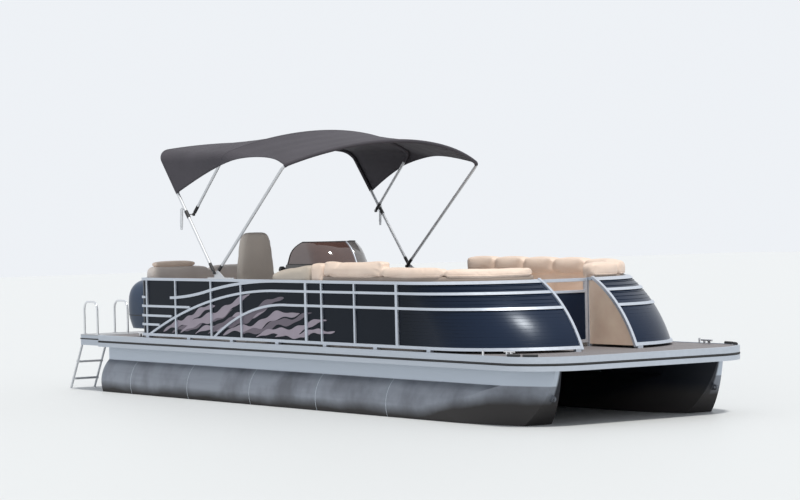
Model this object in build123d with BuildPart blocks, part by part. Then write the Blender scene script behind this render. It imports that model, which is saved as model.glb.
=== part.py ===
from build123d import *
import os
from math import atan2, cos, degrees, radians, sin, sqrt, tan

# Pontoon boat afloat, in millimetres.
# Row frame: +X towards the bow, +Y to port, +Z up, with the origin on the waterline
# under the middle of the deck.

os.makedirs("parts", exist_ok=True)

# Fits and clearances
SEAT_GAP = 0.3
PIN_GAP = 0.08
MOVING_GAP = 8

# Deck
HALF_BEAM = 1295
BOW_X = 4173
DECK_AFT_X = -3703
STERN_X = DECK_AFT_X - 470
DECK_TOP = 615
DECK_T = 30
FLOOR_T = 5
FLOOR_LAP = 1
BOW_R = 520
RAIL_TOP = DECK_TOP + 5
RAIL_H = 125
RAIL_T = 40
RAIL_WEB_H = 22
RAIL_GROOVE_D = 14
RAIL_BAND_H = 58
CROSS_H = 90
CROSS_W = 38
CROSS_T = 5
CROSS_COUNT = 14
CROSS_FIRST_X = DECK_AFT_X + 143
CROSS_LAST_X = BOW_X - 553

# Pontoon tubes
TUBE_Y = HALF_BEAM - 359
TUBE_R = 330
TUBE_Z = DECK_TOP - 505
RISER_HALF = 225
NOSE_START_X = BOW_X - 1113
NOSE_R = 953
NOSE_MARGIN = 2
TAPER_START_X = BOW_X - 1573
TAPER_END_X = BOW_X - 163
TAPER_END_HALF = 18
STRAKE_W = 70
STRAKE_H = 55
STRAKE_ANGLE = 38
TOW_EYE_Z = TUBE_Z + 130
TOW_EYE_T = 14
TOW_EYE_R = 26
TOW_EYE_BORE_R = 13
TOW_EYE_OUT = 30
TOW_EYE_ROOT = 60

# Stern platform and motor pod
NOTCH_HALF = 340
NOTCH_D = 250
PLATFORM_T = 35
PLATFORM_SKIRT_H = 80
PLATFORM_SKIRT_T = 30
PLATFORM_R = 90
PLATFORM_BEAM_Y = 470
PLATFORM_BEAM_W = 60
TRANSOM_T = 60
TRANSOM_HALF = 330
POD_HALF = 260
POD_FRONT_X = DECK_AFT_X + 803
POD_AFT_X = STERN_X + 23
POD_BOTTOM = TUBE_Z - 180
POD_CHINE = POD_BOTTOM + 130
POD_BOW_RAKE = 420

# Fence: side panels, corner sweep at the bow and the rails on them
FENCE_Y = HALF_BEAM - 52
FENCE_FOOT_H = 25
FENCE_AFT_X = DECK_AFT_X + 810
FENCE_CORNER_R = 130
FENCE_TOP = DECK_TOP + 643
FRAME_W = 28
FRAME_DEPTH = 40
PANEL_T = 22
RAIL_PROUD = 16
ARC_Y = 330
BOW_END_BOTTOM_X = BOW_X - 623
BOW_END_MIDDLE_X = BOW_END_BOTTOM_X - 250
BOW_END_TOP_X = BOW_END_BOTTOM_X - 610
BOW_END_MIDDLE_Z = DECK_TOP + 385
POST_W = 24
WIDE_POST_W = 36
POST_XS = (-2699, -2093, -1370, -780, 702, 1268)
WIDE_POST_XS = (423, 1967)
STRIP_W = 24
RAIL_2_Z = FENCE_TOP - 110
RAIL_3_Z = FENCE_TOP - 248
RAIL_1_AFT_X = -2200
RAIL_1_AFT_Z = FENCE_TOP - 207
RAIL_1_LOW_BEND = (-1797, RAIL_1_AFT_Z + 26)
RAIL_1_MIDDLE = (-1369, RAIL_1_AFT_Z + 89)
RAIL_1_HIGH_BEND = (-777, FENCE_TOP - 44)
RAIL_1_TOP_X = 0
RAIL_2_LEVEL_X = -200
RAIL_2_BEND = (-1374, RAIL_2_Z - 120)
RAIL_2_LOW = (-2650, DECK_TOP + 40)
RAIL_3_LEVEL_X = 100
RAIL_3_BEND = (-520, RAIL_3_Z - 55)
RAIL_3_LOW = (-1320, DECK_TOP + 40)
SHORT_RAILS = ((DECK_TOP + 342, -1800), (DECK_TOP + 241, -2180), (DECK_TOP + 146, -2440))
CORNER_RUN = 40
FOOT_LAST_X = BOW_END_TOP_X - 440
STERN_FOOT_YS = (-1000, -350)
CHEEK_T = 10
GATE_STRIP_Z = FENCE_TOP - 128
GATE_HINGE_ZS = (DECK_TOP + 145, FENCE_TOP - 178)
FOOT_W = 60
FOOT_COUNT = 7

# Gates
GATE_X = BOW_END_TOP_X - 71
GATE_FRAME = 30
GATE_PANEL_T = 12
GATE_POST = 30
GATE_LIFT = 12
GATE_TOP_DROP = 6
SIDE_GATE_AFT_X = -850
SIDE_GATE_FRONT_X = -150
STERN_GATE_IN_Y = 420
STERN_GATE_OUT_Y = FENCE_Y - 203
HINGE_R = 9
HINGE_LEN = 60
HINGE_STRAP = 26
HINGE_STANDOFF = 1

# Seats
LOUNGE_AFT_X = 650
PORT_LOUNGE_AFT_X = -40
LOUNGE_GAP = 10
LOUNGE_DEPTH = 590
LOUNGE_BASE_H = 260
LOUNGE_KICK = 45
CUSHION_T = 130
BACK_T = 150
BACK_TOP = FENCE_TOP + 117
HIGH_BACK_TOP = BACK_TOP + 80
HIGH_BACK_FRONT_X = 1660
COAMING_AFT_X = -300
COAMING_TOP = FENCE_TOP + 152
STERN_SEAT_DEPTH = 560
STERN_SEAT_PORT_Y = STERN_GATE_IN_Y - 90
STERN_BACK_TOP = FENCE_TOP + 147
TOE_H = 70
SEAT_NOSE = 15
SEAT_CORNER_R = 90
PORT_HIGH_FRONT_X = 1660

# Helm
HELM_Y = -(FENCE_Y - 523)
CONSOLE_AFT_X = -330
CONSOLE_FRONT_X = 470
CONSOLE_HALF = 330
CONSOLE_TOP = FENCE_TOP + 142
DASH_H = 210
DASH_DEPTH = 120
CONSOLE_WALL = 30
CONSOLE_R = 190
COAMING_SEAT_Z = FENCE_TOP - 78
COAMING_R = 60
KNEEHOLE_H = 420
KNEEHOLE_D = 330
SCREEN_H = 245
SCREEN_T = 8
SCREEN_INSET = 14
SCREEN_CORNER_R = 240
SCREEN_LEVELS = ((0, 0, 0, 0), (0.4, 40, 50, 6), (0.78, 120, 120, 20), (1, 230, 190, 36))
WHEEL_R = 180
WHEEL_RIM_R = 13
WHEEL_HUB_R = 34
WHEEL_HUB_T = 26
WHEEL_STANDOFF = 110
WHEEL_SPOKES = 3
SPOKE_W = 34
THROTTLE_Y = HELM_Y - 240
THROTTLE_W = 60
THROTTLE_L = 120
THROTTLE_BASE_H = 30
LEVER_W = 22
LEVER_T = 26
LEVER_L = 110
KNOB_H = 40
COLUMN_R = 24
CHAIR_X = CONSOLE_AFT_X - 690
CHAIR_Y = HELM_Y - 70
CHAIR_W = 500
CHAIR_D = 500
CHAIR_SEAT_Z = DECK_TOP + 395
CHAIR_SEAT_T = 120
CHAIR_BACK_H = 745
CHAIR_BACK_T = 130
CHAIR_WAIST = 0.35
CHAIR_HEAD_W = 350
CHAIR_HEAD_R = 120
CHAIR_R = 70
SHELL_T = 30
ARM_L = 330
ARM_W = 60
ARM_H = 190
PEDESTAL_R = 45
PEDESTAL_BASE_R = 150
PEDESTAL_BASE_T = 12

# Bimini top: legs pivot on the fence's top rail, hoops lie in tilted planes
BIMINI_X = -1310
BIMINI_Z = FENCE_TOP + 60
BIMINI_TUBE_R = 12.5
LUG_INSET = 36.5
LUG_T = 10
LUG_FOOT = 34
LUG_HEAD = 15
PIVOT_R = 6
EYE_R = 16
LEG_IN_EYE = 0.6
EYE_W = 20
EYE_RUN = 3.5
REAR_LEAN = 40.4
REAR_SHOULDER = 1540
REAR_CORNER_R = 150
REAR_CORNER_TURN = 80
FRONT_LEAN = -51.0
FRONT_SHOULDER = 1637
FRONT_CORNER_R = 100
FRONT_CORNER_TURN = 57
MID_PIVOT_L = 794
MID_LEAN = -47.3
MID_SHOULDER = 828
MID_CORNER_R = 120
MID_CORNER_TURN = 60
CANVAS_T = 10
CANVAS_LIFT = 20.7
REAR_FLAP = 450
MID_FLAP = 60
FRONT_FLAP = 40
PLATE_L = 460
PLATE_W = 40
PLATE_T = 12
PLATE_X = BIMINI_X + 120

# Outboard motor
TRANSOM_Z = DECK_TOP - 55
TILT_Z = TRANSOM_Z - 40
TILT_R = 18
CLAMP_HOOK = 14
CLAMP_EAR = 34
SWIVEL_FRONT = 24
LEG_SPREAD = 20
GEAR_NOSE = 90
STRUT_HALF = 24
STRUT_INSET = 34
SKEG_T = 12
COWL_R = 120
COWL_SET_BACK = 16
PROP_BLADE_W = 150
TILT_X = POD_AFT_X - 85
STEER_X = TILT_X - 95
SWIVEL_TUBE_R = 36
KINGPIN_R = 20
SWIVEL_BOTTOM = TRANSOM_Z - 370
SWIVEL_TOP = TRANSOM_Z - 15
CLAMP_Y = 108
CLAMP_T = 22
CLAMP_BOTTOM = TRANSOM_Z - 260
LEG_FRONT_X = STEER_X - 58
LEG_AFT_X = LEG_FRONT_X - 152
LEG_HALF = 62
LEG_FOOT_HALF = 44
YOKE_R = 44
YOKE_H = 50
PLATE_Z = TRANSOM_Z - 690
CAV_PLATE_T = 10
CAV_HALF = 115
CAV_AFT_X = LEG_AFT_X - 220
GEAR_Z = PLATE_Z - 205
GEAR_R = 52
GEAR_FRONT_X = STEER_X - 20
GEAR_AFT_X = LEG_AFT_X - 150
SKEG_Z = GEAR_Z - 210
PROP_R = 178
PROP_HUB_R = 50
PROP_HUB_L = 110
PROP_BLADES = 3
PROP_BLADE_T = 9
PROP_PITCH = 60
COWL_BOTTOM = TRANSOM_Z + 65
COWL_H = 570
COWL_FRONT_X = STEER_X - 15
COWL_AFT_X = COWL_FRONT_X - 700
COWL_HALF = 235

# Ladder and grab rails at the starboard side of the platform
LADDER_Y = -(HALF_BEAM - 250)
LADDER_HALF = 150
LADDER_PIVOT_Z = RAIL_TOP - 30
LADDER_PIVOT_OUT = 34
LADDER_TUBE_R = 12.5
LADDER_LEAN = 30
LADDER_L = 1020
LADDER_STEPS = 4
LADDER_TAIL = 15
STEP_W = 70
STEP_T = 22
LADDER_ROD_R = 9
LADDER_ROD_OUT = 34
LADDER_FIRST_STEP = 330
BRACKET_OUT = 24
BRACKET_T = 8
BRACKET_R = 22
GRAB_R = 12.5
GRAB_YS = (-(HALF_BEAM - 60), -(HALF_BEAM - 440))
GRAB_AFT_X = STERN_X + 53
GRAB_L = 300
GRAB_H = 360
GRAB_BEND_R = 90
GRAB_FLANGE_R = 28
GRAB_FLANGE_T = 6

# Small deck fittings
CLEAT_XS = (DECK_AFT_X + 723, BOW_X - 613)
CLEAT_Y = HALF_BEAM - 145
CLEAT_L = 150
CLEAT_POST = 18
CLEAT_H = 38

deck_bottom = DECK_TOP - DECK_T
tube_top = deck_bottom - CROSS_H
floor_top = DECK_TOP + FLOOR_T
fence_bottom = DECK_TOP + FENCE_FOOT_H
panel_bottom = fence_bottom + FRAME_W
panel_top = FENCE_TOP - FRAME_W
panel_y = FENCE_Y - RAIL_PROUD
side_start_x = FENCE_AFT_X + FENCE_CORNER_R + CORNER_RUN
side_gate_mid_x = (SIDE_GATE_AFT_X + SIDE_GATE_FRONT_X) / 2
side_gate_l = SIDE_GATE_FRONT_X - SIDE_GATE_AFT_X
side_leaf_y = FENCE_Y - FRAME_DEPTH + GATE_FRAME / 2
stern_leaf_x = FENCE_AFT_X + FRAME_DEPTH - GATE_FRAME / 2
bow_hinge = (GATE_X - GATE_FRAME / 2 - HINGE_R - HINGE_STANDOFF, -ARC_Y + GATE_POST + MOVING_GAP / 2)
side_hinge = (SIDE_GATE_FRONT_X - MOVING_GAP / 2, FENCE_Y - FRAME_DEPTH - HINGE_R - HINGE_STANDOFF)
stern_hinge = (FENCE_AFT_X + FRAME_DEPTH + HINGE_R + HINGE_STANDOFF, STERN_GATE_IN_Y + MOVING_GAP / 2)
lug_y = FENCE_Y - LUG_INSET
hoop_step = LUG_T + EYE_W + 2 * EYE_RUN
rear_half = lug_y + hoop_step / 2
front_half = lug_y - hoop_step / 2
middle_half = front_half - hoop_step


def save(piece, name):
    """Label a finished piece and write it to its own file."""
    piece.label = name
    export_step(piece, f"parts/{name}.step")
    print(f"{name}: {len(piece.solids())} solids, {piece.volume / 1e6:.2f} dm3")


def circle_through(a, b, c):
    """Centre and radius of the circle through three points."""
    ax, ay = a
    bx, by = b
    cx, cy = c
    d = 2 * (ax * (by - cy) + bx * (cy - ay) + cx * (ay - by))
    ux = ((ax**2 + ay**2) * (by - cy) + (bx**2 + by**2) * (cy - ay) + (cx**2 + cy**2) * (ay - by)) / d
    uy = ((ax**2 + ay**2) * (cx - bx) + (bx**2 + by**2) * (ax - cx) + (cx**2 + cy**2) * (bx - ax)) / d
    return ux, uy, sqrt((ax - ux) ** 2 + (ay - uy) ** 2)


rake_x, rake_z, rake_r = circle_through(
    (BOW_END_BOTTOM_X, fence_bottom),
    (BOW_END_MIDDLE_X, BOW_END_MIDDLE_Z),
    (BOW_END_TOP_X, FENCE_TOP),
)


def bow_end_x(z):
    """Foremost reach of the fence at a height, on the rake's arc."""
    return rake_x + sqrt(rake_r**2 - (z - rake_z) ** 2)


def deck_outline(z, inset, aft_x):
    """Plan of the deck, square aft and with rounded bow corners, inset from the rub rail."""
    front = BOW_X - inset
    half = HALF_BEAM - inset
    with BuildSketch(Plane.XY.offset(z)) as outline:
        with Locations(((front + aft_x) / 2, 0)):
            Rectangle(front - aft_x, 2 * half)
        fillet(outline.vertices().group_by(Axis.X)[-1], BOW_R - inset)
    return outline.sketch


def side_band(z, start_x, end_x, y_outer, y_inner):
    """Plan of a wall along the starboard side that turns in to the bow gate by a quarter circle."""
    outer_r = y_outer - ARC_Y
    inner_r = y_inner - ARC_Y
    centre_x = end_x - (FENCE_Y - ARC_Y)
    diagonal = sqrt(0.5)
    with BuildSketch(Plane.XY.offset(z)) as band:
        with BuildLine():
            Line((start_x, -y_outer), (centre_x, -y_outer))
            ThreePointArc(
                (centre_x, -y_outer),
                (centre_x + outer_r * diagonal, -ARC_Y - outer_r * diagonal),
                (centre_x + outer_r, -ARC_Y),
            )
            Line((centre_x + outer_r, -ARC_Y), (centre_x + inner_r, -ARC_Y))
            ThreePointArc(
                (centre_x + inner_r, -ARC_Y),
                (centre_x + inner_r * diagonal, -ARC_Y - inner_r * diagonal),
                (centre_x, -y_inner),
            )
            Line((centre_x, -y_inner), (start_x, -y_inner))
            Line((start_x, -y_inner), (start_x, -y_outer))
        make_face()
    return band.sketch


def corner_band(z, y_end, outer, inner):
    """Plan of the starboard aft corner: a short side run, a quarter turn and a run across the stern."""
    outer_r = FENCE_CORNER_R - (FENCE_Y - outer)
    inner_r = FENCE_CORNER_R - (FENCE_Y - inner)
    cx = FENCE_AFT_X + FENCE_CORNER_R
    cy = -FENCE_Y + FENCE_CORNER_R
    diagonal = sqrt(0.5)
    with BuildSketch(Plane.XY.offset(z)) as band:
        with BuildLine():
            Line((side_start_x, cy - outer_r), (cx, cy - outer_r))
            ThreePointArc(
                (cx, cy - outer_r),
                (cx - outer_r * diagonal, cy - outer_r * diagonal),
                (cx - outer_r, cy),
            )
            Line((cx - outer_r, cy), (cx - outer_r, y_end))
            Line((cx - outer_r, y_end), (cx - inner_r, y_end))
            Line((cx - inner_r, y_end), (cx - inner_r, cy))
            ThreePointArc(
                (cx - inner_r, cy),
                (cx - inner_r * diagonal, cy - inner_r * diagonal),
                (cx, cy - inner_r),
            )
            Line((cx, cy - inner_r), (side_start_x, cy - inner_r))
            Line((side_start_x, cy - inner_r), (side_start_x, cy - outer_r))
        make_face()
    return band.sketch


def hinge_knuckle(axis_at, along, towards, z):
    """Add a hinge barrel on a vertical axis, with a strap along the leaf or post that it is fixed to."""
    x, y = axis_at
    reach = HINGE_R + HINGE_STANDOFF
    strap_x = x + along[0] * HINGE_STRAP / 2 + towards[0] * reach / 2
    strap_y = y + along[1] * HINGE_STRAP / 2 + towards[1] * reach / 2
    with BuildSketch(Plane.XY.offset(z)) as barrel:
        with Locations((x, y)):
            Circle(HINGE_R)
        with Locations((strap_x, strap_y)):
            Rectangle(
                abs(along[0]) * HINGE_STRAP + abs(towards[0]) * reach,
                abs(along[1]) * HINGE_STRAP + abs(towards[1]) * reach,
            )
    extrude(barrel.sketch, amount=HINGE_LEN)


# Pontoon tubes: section, side profile and plan profile meet in one solid
with BuildPart() as tube:
    with BuildSketch(Plane.YZ.offset(DECK_AFT_X)):
        with Locations((-TUBE_Y, TUBE_Z)):
            Circle(TUBE_R)
        with Locations((-TUBE_Y, (TUBE_Z + tube_top) / 2)):
            Rectangle(2 * RISER_HALF, tube_top - TUBE_Z)
        for side in (-1, 1):
            with Locations(
                (
                    -TUBE_Y + side * TUBE_R * sin(radians(STRAKE_ANGLE)),
                    TUBE_Z - TUBE_R * cos(radians(STRAKE_ANGLE)),
                )
            ):
                Rectangle(STRAKE_W, STRAKE_H)
    extrude(amount=TAPER_END_X - DECK_AFT_X)
    cut_aft_x = DECK_AFT_X - NOSE_MARGIN
    nose_bottom = TUBE_Z - TUBE_R - NOSE_MARGIN
    nose_centre_z = nose_bottom + NOSE_R
    stem_x = NOSE_START_X + sqrt(NOSE_R**2 - (nose_centre_z - tube_top - NOSE_MARGIN) ** 2)
    with BuildSketch(Plane.XZ.offset(TUBE_Y - TUBE_R - NOSE_MARGIN)):
        with BuildLine():
            Line((cut_aft_x, nose_bottom), (NOSE_START_X, nose_bottom))
            ThreePointArc(
                (NOSE_START_X, nose_bottom),
                (
                    NOSE_START_X + NOSE_R * sin(radians(40)),
                    nose_centre_z - NOSE_R * cos(radians(40)),
                ),
                (stem_x, tube_top + NOSE_MARGIN),
            )
            Line((stem_x, tube_top + NOSE_MARGIN), (cut_aft_x, tube_top + NOSE_MARGIN))
            Line((cut_aft_x, tube_top + NOSE_MARGIN), (cut_aft_x, nose_bottom))
        make_face()
    extrude(amount=2 * (TUBE_R + NOSE_MARGIN), mode=Mode.INTERSECT)
    taper_l = TAPER_END_X - TAPER_START_X
    taper_start_half = TUBE_R + NOSE_MARGIN
    taper_w = taper_start_half - TAPER_END_HALF
    taper_r = (taper_l**2 + taper_w**2) / (2 * taper_w)
    mid_x = TAPER_START_X + taper_l * 0.55
    mid_half = taper_start_half - taper_r + sqrt(taper_r**2 - (mid_x - TAPER_START_X) ** 2)
    with BuildSketch(Plane.XY.offset(nose_bottom)):
        with BuildLine():
            Line((cut_aft_x, -TUBE_Y - taper_start_half), (TAPER_START_X, -TUBE_Y - taper_start_half))
            ThreePointArc(
                (TAPER_START_X, -TUBE_Y - taper_start_half),
                (mid_x, -TUBE_Y - mid_half),
                (TAPER_END_X, -TUBE_Y - TAPER_END_HALF),
            )
            Line((TAPER_END_X, -TUBE_Y - TAPER_END_HALF), (TAPER_END_X, -TUBE_Y + TAPER_END_HALF))
            ThreePointArc(
                (TAPER_END_X, -TUBE_Y + TAPER_END_HALF),
                (mid_x, -TUBE_Y + mid_half),
                (TAPER_START_X, -TUBE_Y + taper_start_half),
            )
            Line((TAPER_START_X, -TUBE_Y + taper_start_half), (cut_aft_x, -TUBE_Y + taper_start_half))
            Line((cut_aft_x, -TUBE_Y + taper_start_half), (cut_aft_x, -TUBE_Y - taper_start_half))
        make_face()
    extrude(amount=tube_top + 2 * NOSE_MARGIN - nose_bottom, mode=Mode.INTERSECT)
save(tube.part, "tube_starboard")

with BuildPart() as tube_port:
    mirror(tube.part, about=Plane.XZ)
save(tube_port.part, "tube_port")

# Tow eyes: a plate welded to each stem, bored for a shackle
with BuildPart() as tow_eyes:
    eye_x = NOSE_START_X + sqrt(NOSE_R**2 - (nose_centre_z - TOW_EYE_Z) ** 2) + TOW_EYE_OUT
    with BuildSketch(Plane.XZ.offset(TUBE_Y - TOW_EYE_T / 2)):
        with Locations((eye_x, TOW_EYE_Z)):
            Circle(TOW_EYE_R)
        with Locations((eye_x - (TOW_EYE_OUT + TOW_EYE_ROOT) / 2, TOW_EYE_Z)):
            Rectangle(TOW_EYE_OUT + TOW_EYE_ROOT, 2 * TOW_EYE_R)
        with Locations((eye_x, TOW_EYE_Z)):
            Circle(TOW_EYE_BORE_R, mode=Mode.SUBTRACT)
    extrude(amount=TOW_EYE_T)
    add(tube.part, mode=Mode.SUBTRACT)
    mirror(about=Plane.XZ)
save(tow_eyes.part, "tow_eyes")
print(f"tow eyes at x {eye_x:.3f}, y {TUBE_Y}, z {TOW_EYE_Z}")

# Deck, floor covering, cross members and rub rail
with BuildPart() as deck:
    extrude(deck_outline(deck_bottom, RAIL_T, DECK_AFT_X), amount=DECK_T)
save(deck.part, "deck")

with BuildPart() as cross_members:
    pitch = (CROSS_LAST_X - CROSS_FIRST_X) / (CROSS_COUNT - 1)
    length = 2 * (HALF_BEAM - RAIL_T)
    for index in range(CROSS_COUNT):
        x = CROSS_FIRST_X + index * pitch
        with BuildSketch(Plane.XZ.offset(-length / 2)):
            with Locations((x, deck_bottom - CROSS_H / 2)):
                Rectangle(CROSS_W, CROSS_H)
            with Locations((x + CROSS_T, deck_bottom - CROSS_H / 2)):
                Rectangle(CROSS_W, CROSS_H - 2 * CROSS_T, mode=Mode.SUBTRACT)
        extrude(amount=length)
save(cross_members.part, "cross_members")

# The rub rail is three layers: a lower lip, a recessed web and the bright upper band
with BuildPart() as rub_rail:
    rail_bottom = RAIL_TOP - RAIL_H
    web_z = RAIL_TOP - RAIL_BAND_H - RAIL_WEB_H
    band_z = RAIL_TOP - RAIL_BAND_H
    for z, height, inset in (
        (rail_bottom, web_z - rail_bottom, 0),
        (web_z, RAIL_WEB_H, RAIL_GROOVE_D),
        (band_z, RAIL_BAND_H, 0),
    ):
        extrude(deck_outline(z, inset, DECK_AFT_X), amount=height)
    extrude(deck_outline(rail_bottom, RAIL_T, DECK_AFT_X), amount=RAIL_H, mode=Mode.SUBTRACT)
save(rub_rail.part, "rub_rail")

with BuildPart() as floor_covering:
    floor_side_y = FENCE_Y - FRAME_DEPTH - LOUNGE_GAP
    floor_plan = side_band(DECK_TOP, side_start_x, BOW_END_TOP_X, floor_side_y, ARC_Y + FLOOR_LAP)
    extrude(floor_plan, amount=FLOOR_T)
    mirror(about=Plane.XZ)
    floor_aft_x = FENCE_AFT_X + FRAME_DEPTH + LOUNGE_GAP
    floor_front_x = GATE_X - GATE_POST / 2 - SEAT_GAP
    with BuildSketch(Plane.XY.offset(DECK_TOP)):
        with Locations(((floor_aft_x + floor_front_x) / 2, 0)):
            Rectangle(floor_front_x - floor_aft_x, 2 * (ARC_Y + 2 * FLOOR_LAP))
    extrude(amount=FLOOR_T)
save(floor_covering.part, "floor_covering")

# Stern platform, notched for the motor's tilt, on two beams over the pod
platform_bottom = RAIL_TOP - PLATFORM_T
with BuildPart() as stern_platform:
    with BuildSketch(Plane.XY.offset(platform_bottom)) as platform_plan:
        with Locations(((DECK_AFT_X + STERN_X) / 2, 0)):
            Rectangle(DECK_AFT_X - STERN_X, 2 * HALF_BEAM)
        fillet(platform_plan.vertices().group_by(Axis.X)[0], PLATFORM_R)
        with Locations((STERN_X + NOTCH_D / 2, 0)):
            Rectangle(NOTCH_D, 2 * NOTCH_HALF, mode=Mode.SUBTRACT)
    extrude(amount=PLATFORM_T)
    with BuildSketch(Plane.XY.offset(platform_bottom)) as skirt_plan:
        add(platform_plan.sketch)
        offset(platform_plan.sketch, amount=-PLATFORM_SKIRT_T, mode=Mode.SUBTRACT)
    extrude(amount=-PLATFORM_SKIRT_H)
    with BuildSketch(Plane.XY.offset(platform_bottom)):
        for side in (-1, 1):
            with Locations(((DECK_AFT_X + STERN_X) / 2, side * PLATFORM_BEAM_Y)):
                Rectangle(DECK_AFT_X - STERN_X, PLATFORM_BEAM_W)
    extrude(amount=tube_top - platform_bottom)
save(stern_platform.part, "stern_platform")

# Motor pod under the deck, with a keel, chines, a raked bow and the transom at its aft end
with BuildPart() as motor_pod:
    with BuildSketch(Plane.YZ.offset(POD_AFT_X)):
        with BuildLine():
            Polyline(
                (-POD_HALF, tube_top),
                (-POD_HALF, POD_CHINE),
                (0, POD_BOTTOM),
                (POD_HALF, POD_CHINE),
                (POD_HALF, tube_top),
                close=True,
            )
        make_face()
    extrude(amount=POD_FRONT_X - POD_AFT_X)
    with BuildSketch(Plane.XZ.offset(-POD_HALF)):
        with BuildLine():
            Polyline(
                (POD_FRONT_X, tube_top),
                (POD_FRONT_X, POD_BOTTOM),
                (POD_FRONT_X - POD_BOW_RAKE, POD_BOTTOM),
                close=True,
            )
        make_face()
    extrude(amount=2 * POD_HALF, mode=Mode.SUBTRACT)
    with BuildSketch(Plane.XY.offset(tube_top)):
        with Locations((POD_AFT_X + TRANSOM_T / 2, 0)):
            Rectangle(TRANSOM_T, 2 * TRANSOM_HALF)
    extrude(amount=TRANSOM_Z - tube_top)
save(motor_pod.part, "motor_pod")


# Fence: every part of it is a slice of one raked shell that runs along the side and round the bow
def fence_slice(y_outer, y_inner, start_x, heights):
    """Horizontal slices of the starboard fence shell between two depths, one for each pair of heights."""
    with BuildPart() as slabs:
        for low, high in heights:
            with BuildSketch(Plane.XY.offset(low)) as slab:
                with Locations(((start_x + BOW_X) / 2, -HALF_BEAM / 2)):
                    Rectangle(BOW_X - start_x + 2 * FRAME_DEPTH, HALF_BEAM)
            extrude(slab.sketch, amount=high - low)
    levels = (fence_bottom, BOW_END_MIDDLE_Z, FENCE_TOP)
    with BuildPart() as shell:
        loft(sections=[side_band(z, start_x, bow_end_x(z), y_outer, y_inner) for z in levels])
        add(slabs.part, mode=Mode.INTERSECT)
    return shell.part


side_sheet = fence_slice(panel_y, panel_y - PANEL_T, side_start_x, [(panel_bottom, panel_top)])
with BuildPart() as panels_starboard:
    add(side_sheet)
save(panels_starboard.part, "fence_panels_starboard")

with BuildPart() as panels_port:
    mirror(panels_starboard.part, about=Plane.XZ)
    with BuildSketch(Plane.XY.offset(DECK_TOP)):
        with Locations((side_gate_mid_x, FENCE_Y)):
            Rectangle(side_gate_l + 2 * GATE_POST, 4 * FRAME_DEPTH)
    extrude(amount=FENCE_TOP, mode=Mode.SUBTRACT)
save(panels_port.part, "fence_panels_port")


def add_strip(path, width, depth):
    """Sweep a flat strip of the fence along a path drawn in the plane of the side."""
    with BuildSketch(Plane(origin=path @ 0, x_dir=(0, 1, 0), z_dir=path % 0)) as section:
        Rectangle(depth, width)
    sweep(section.sketch, path=path)


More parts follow.
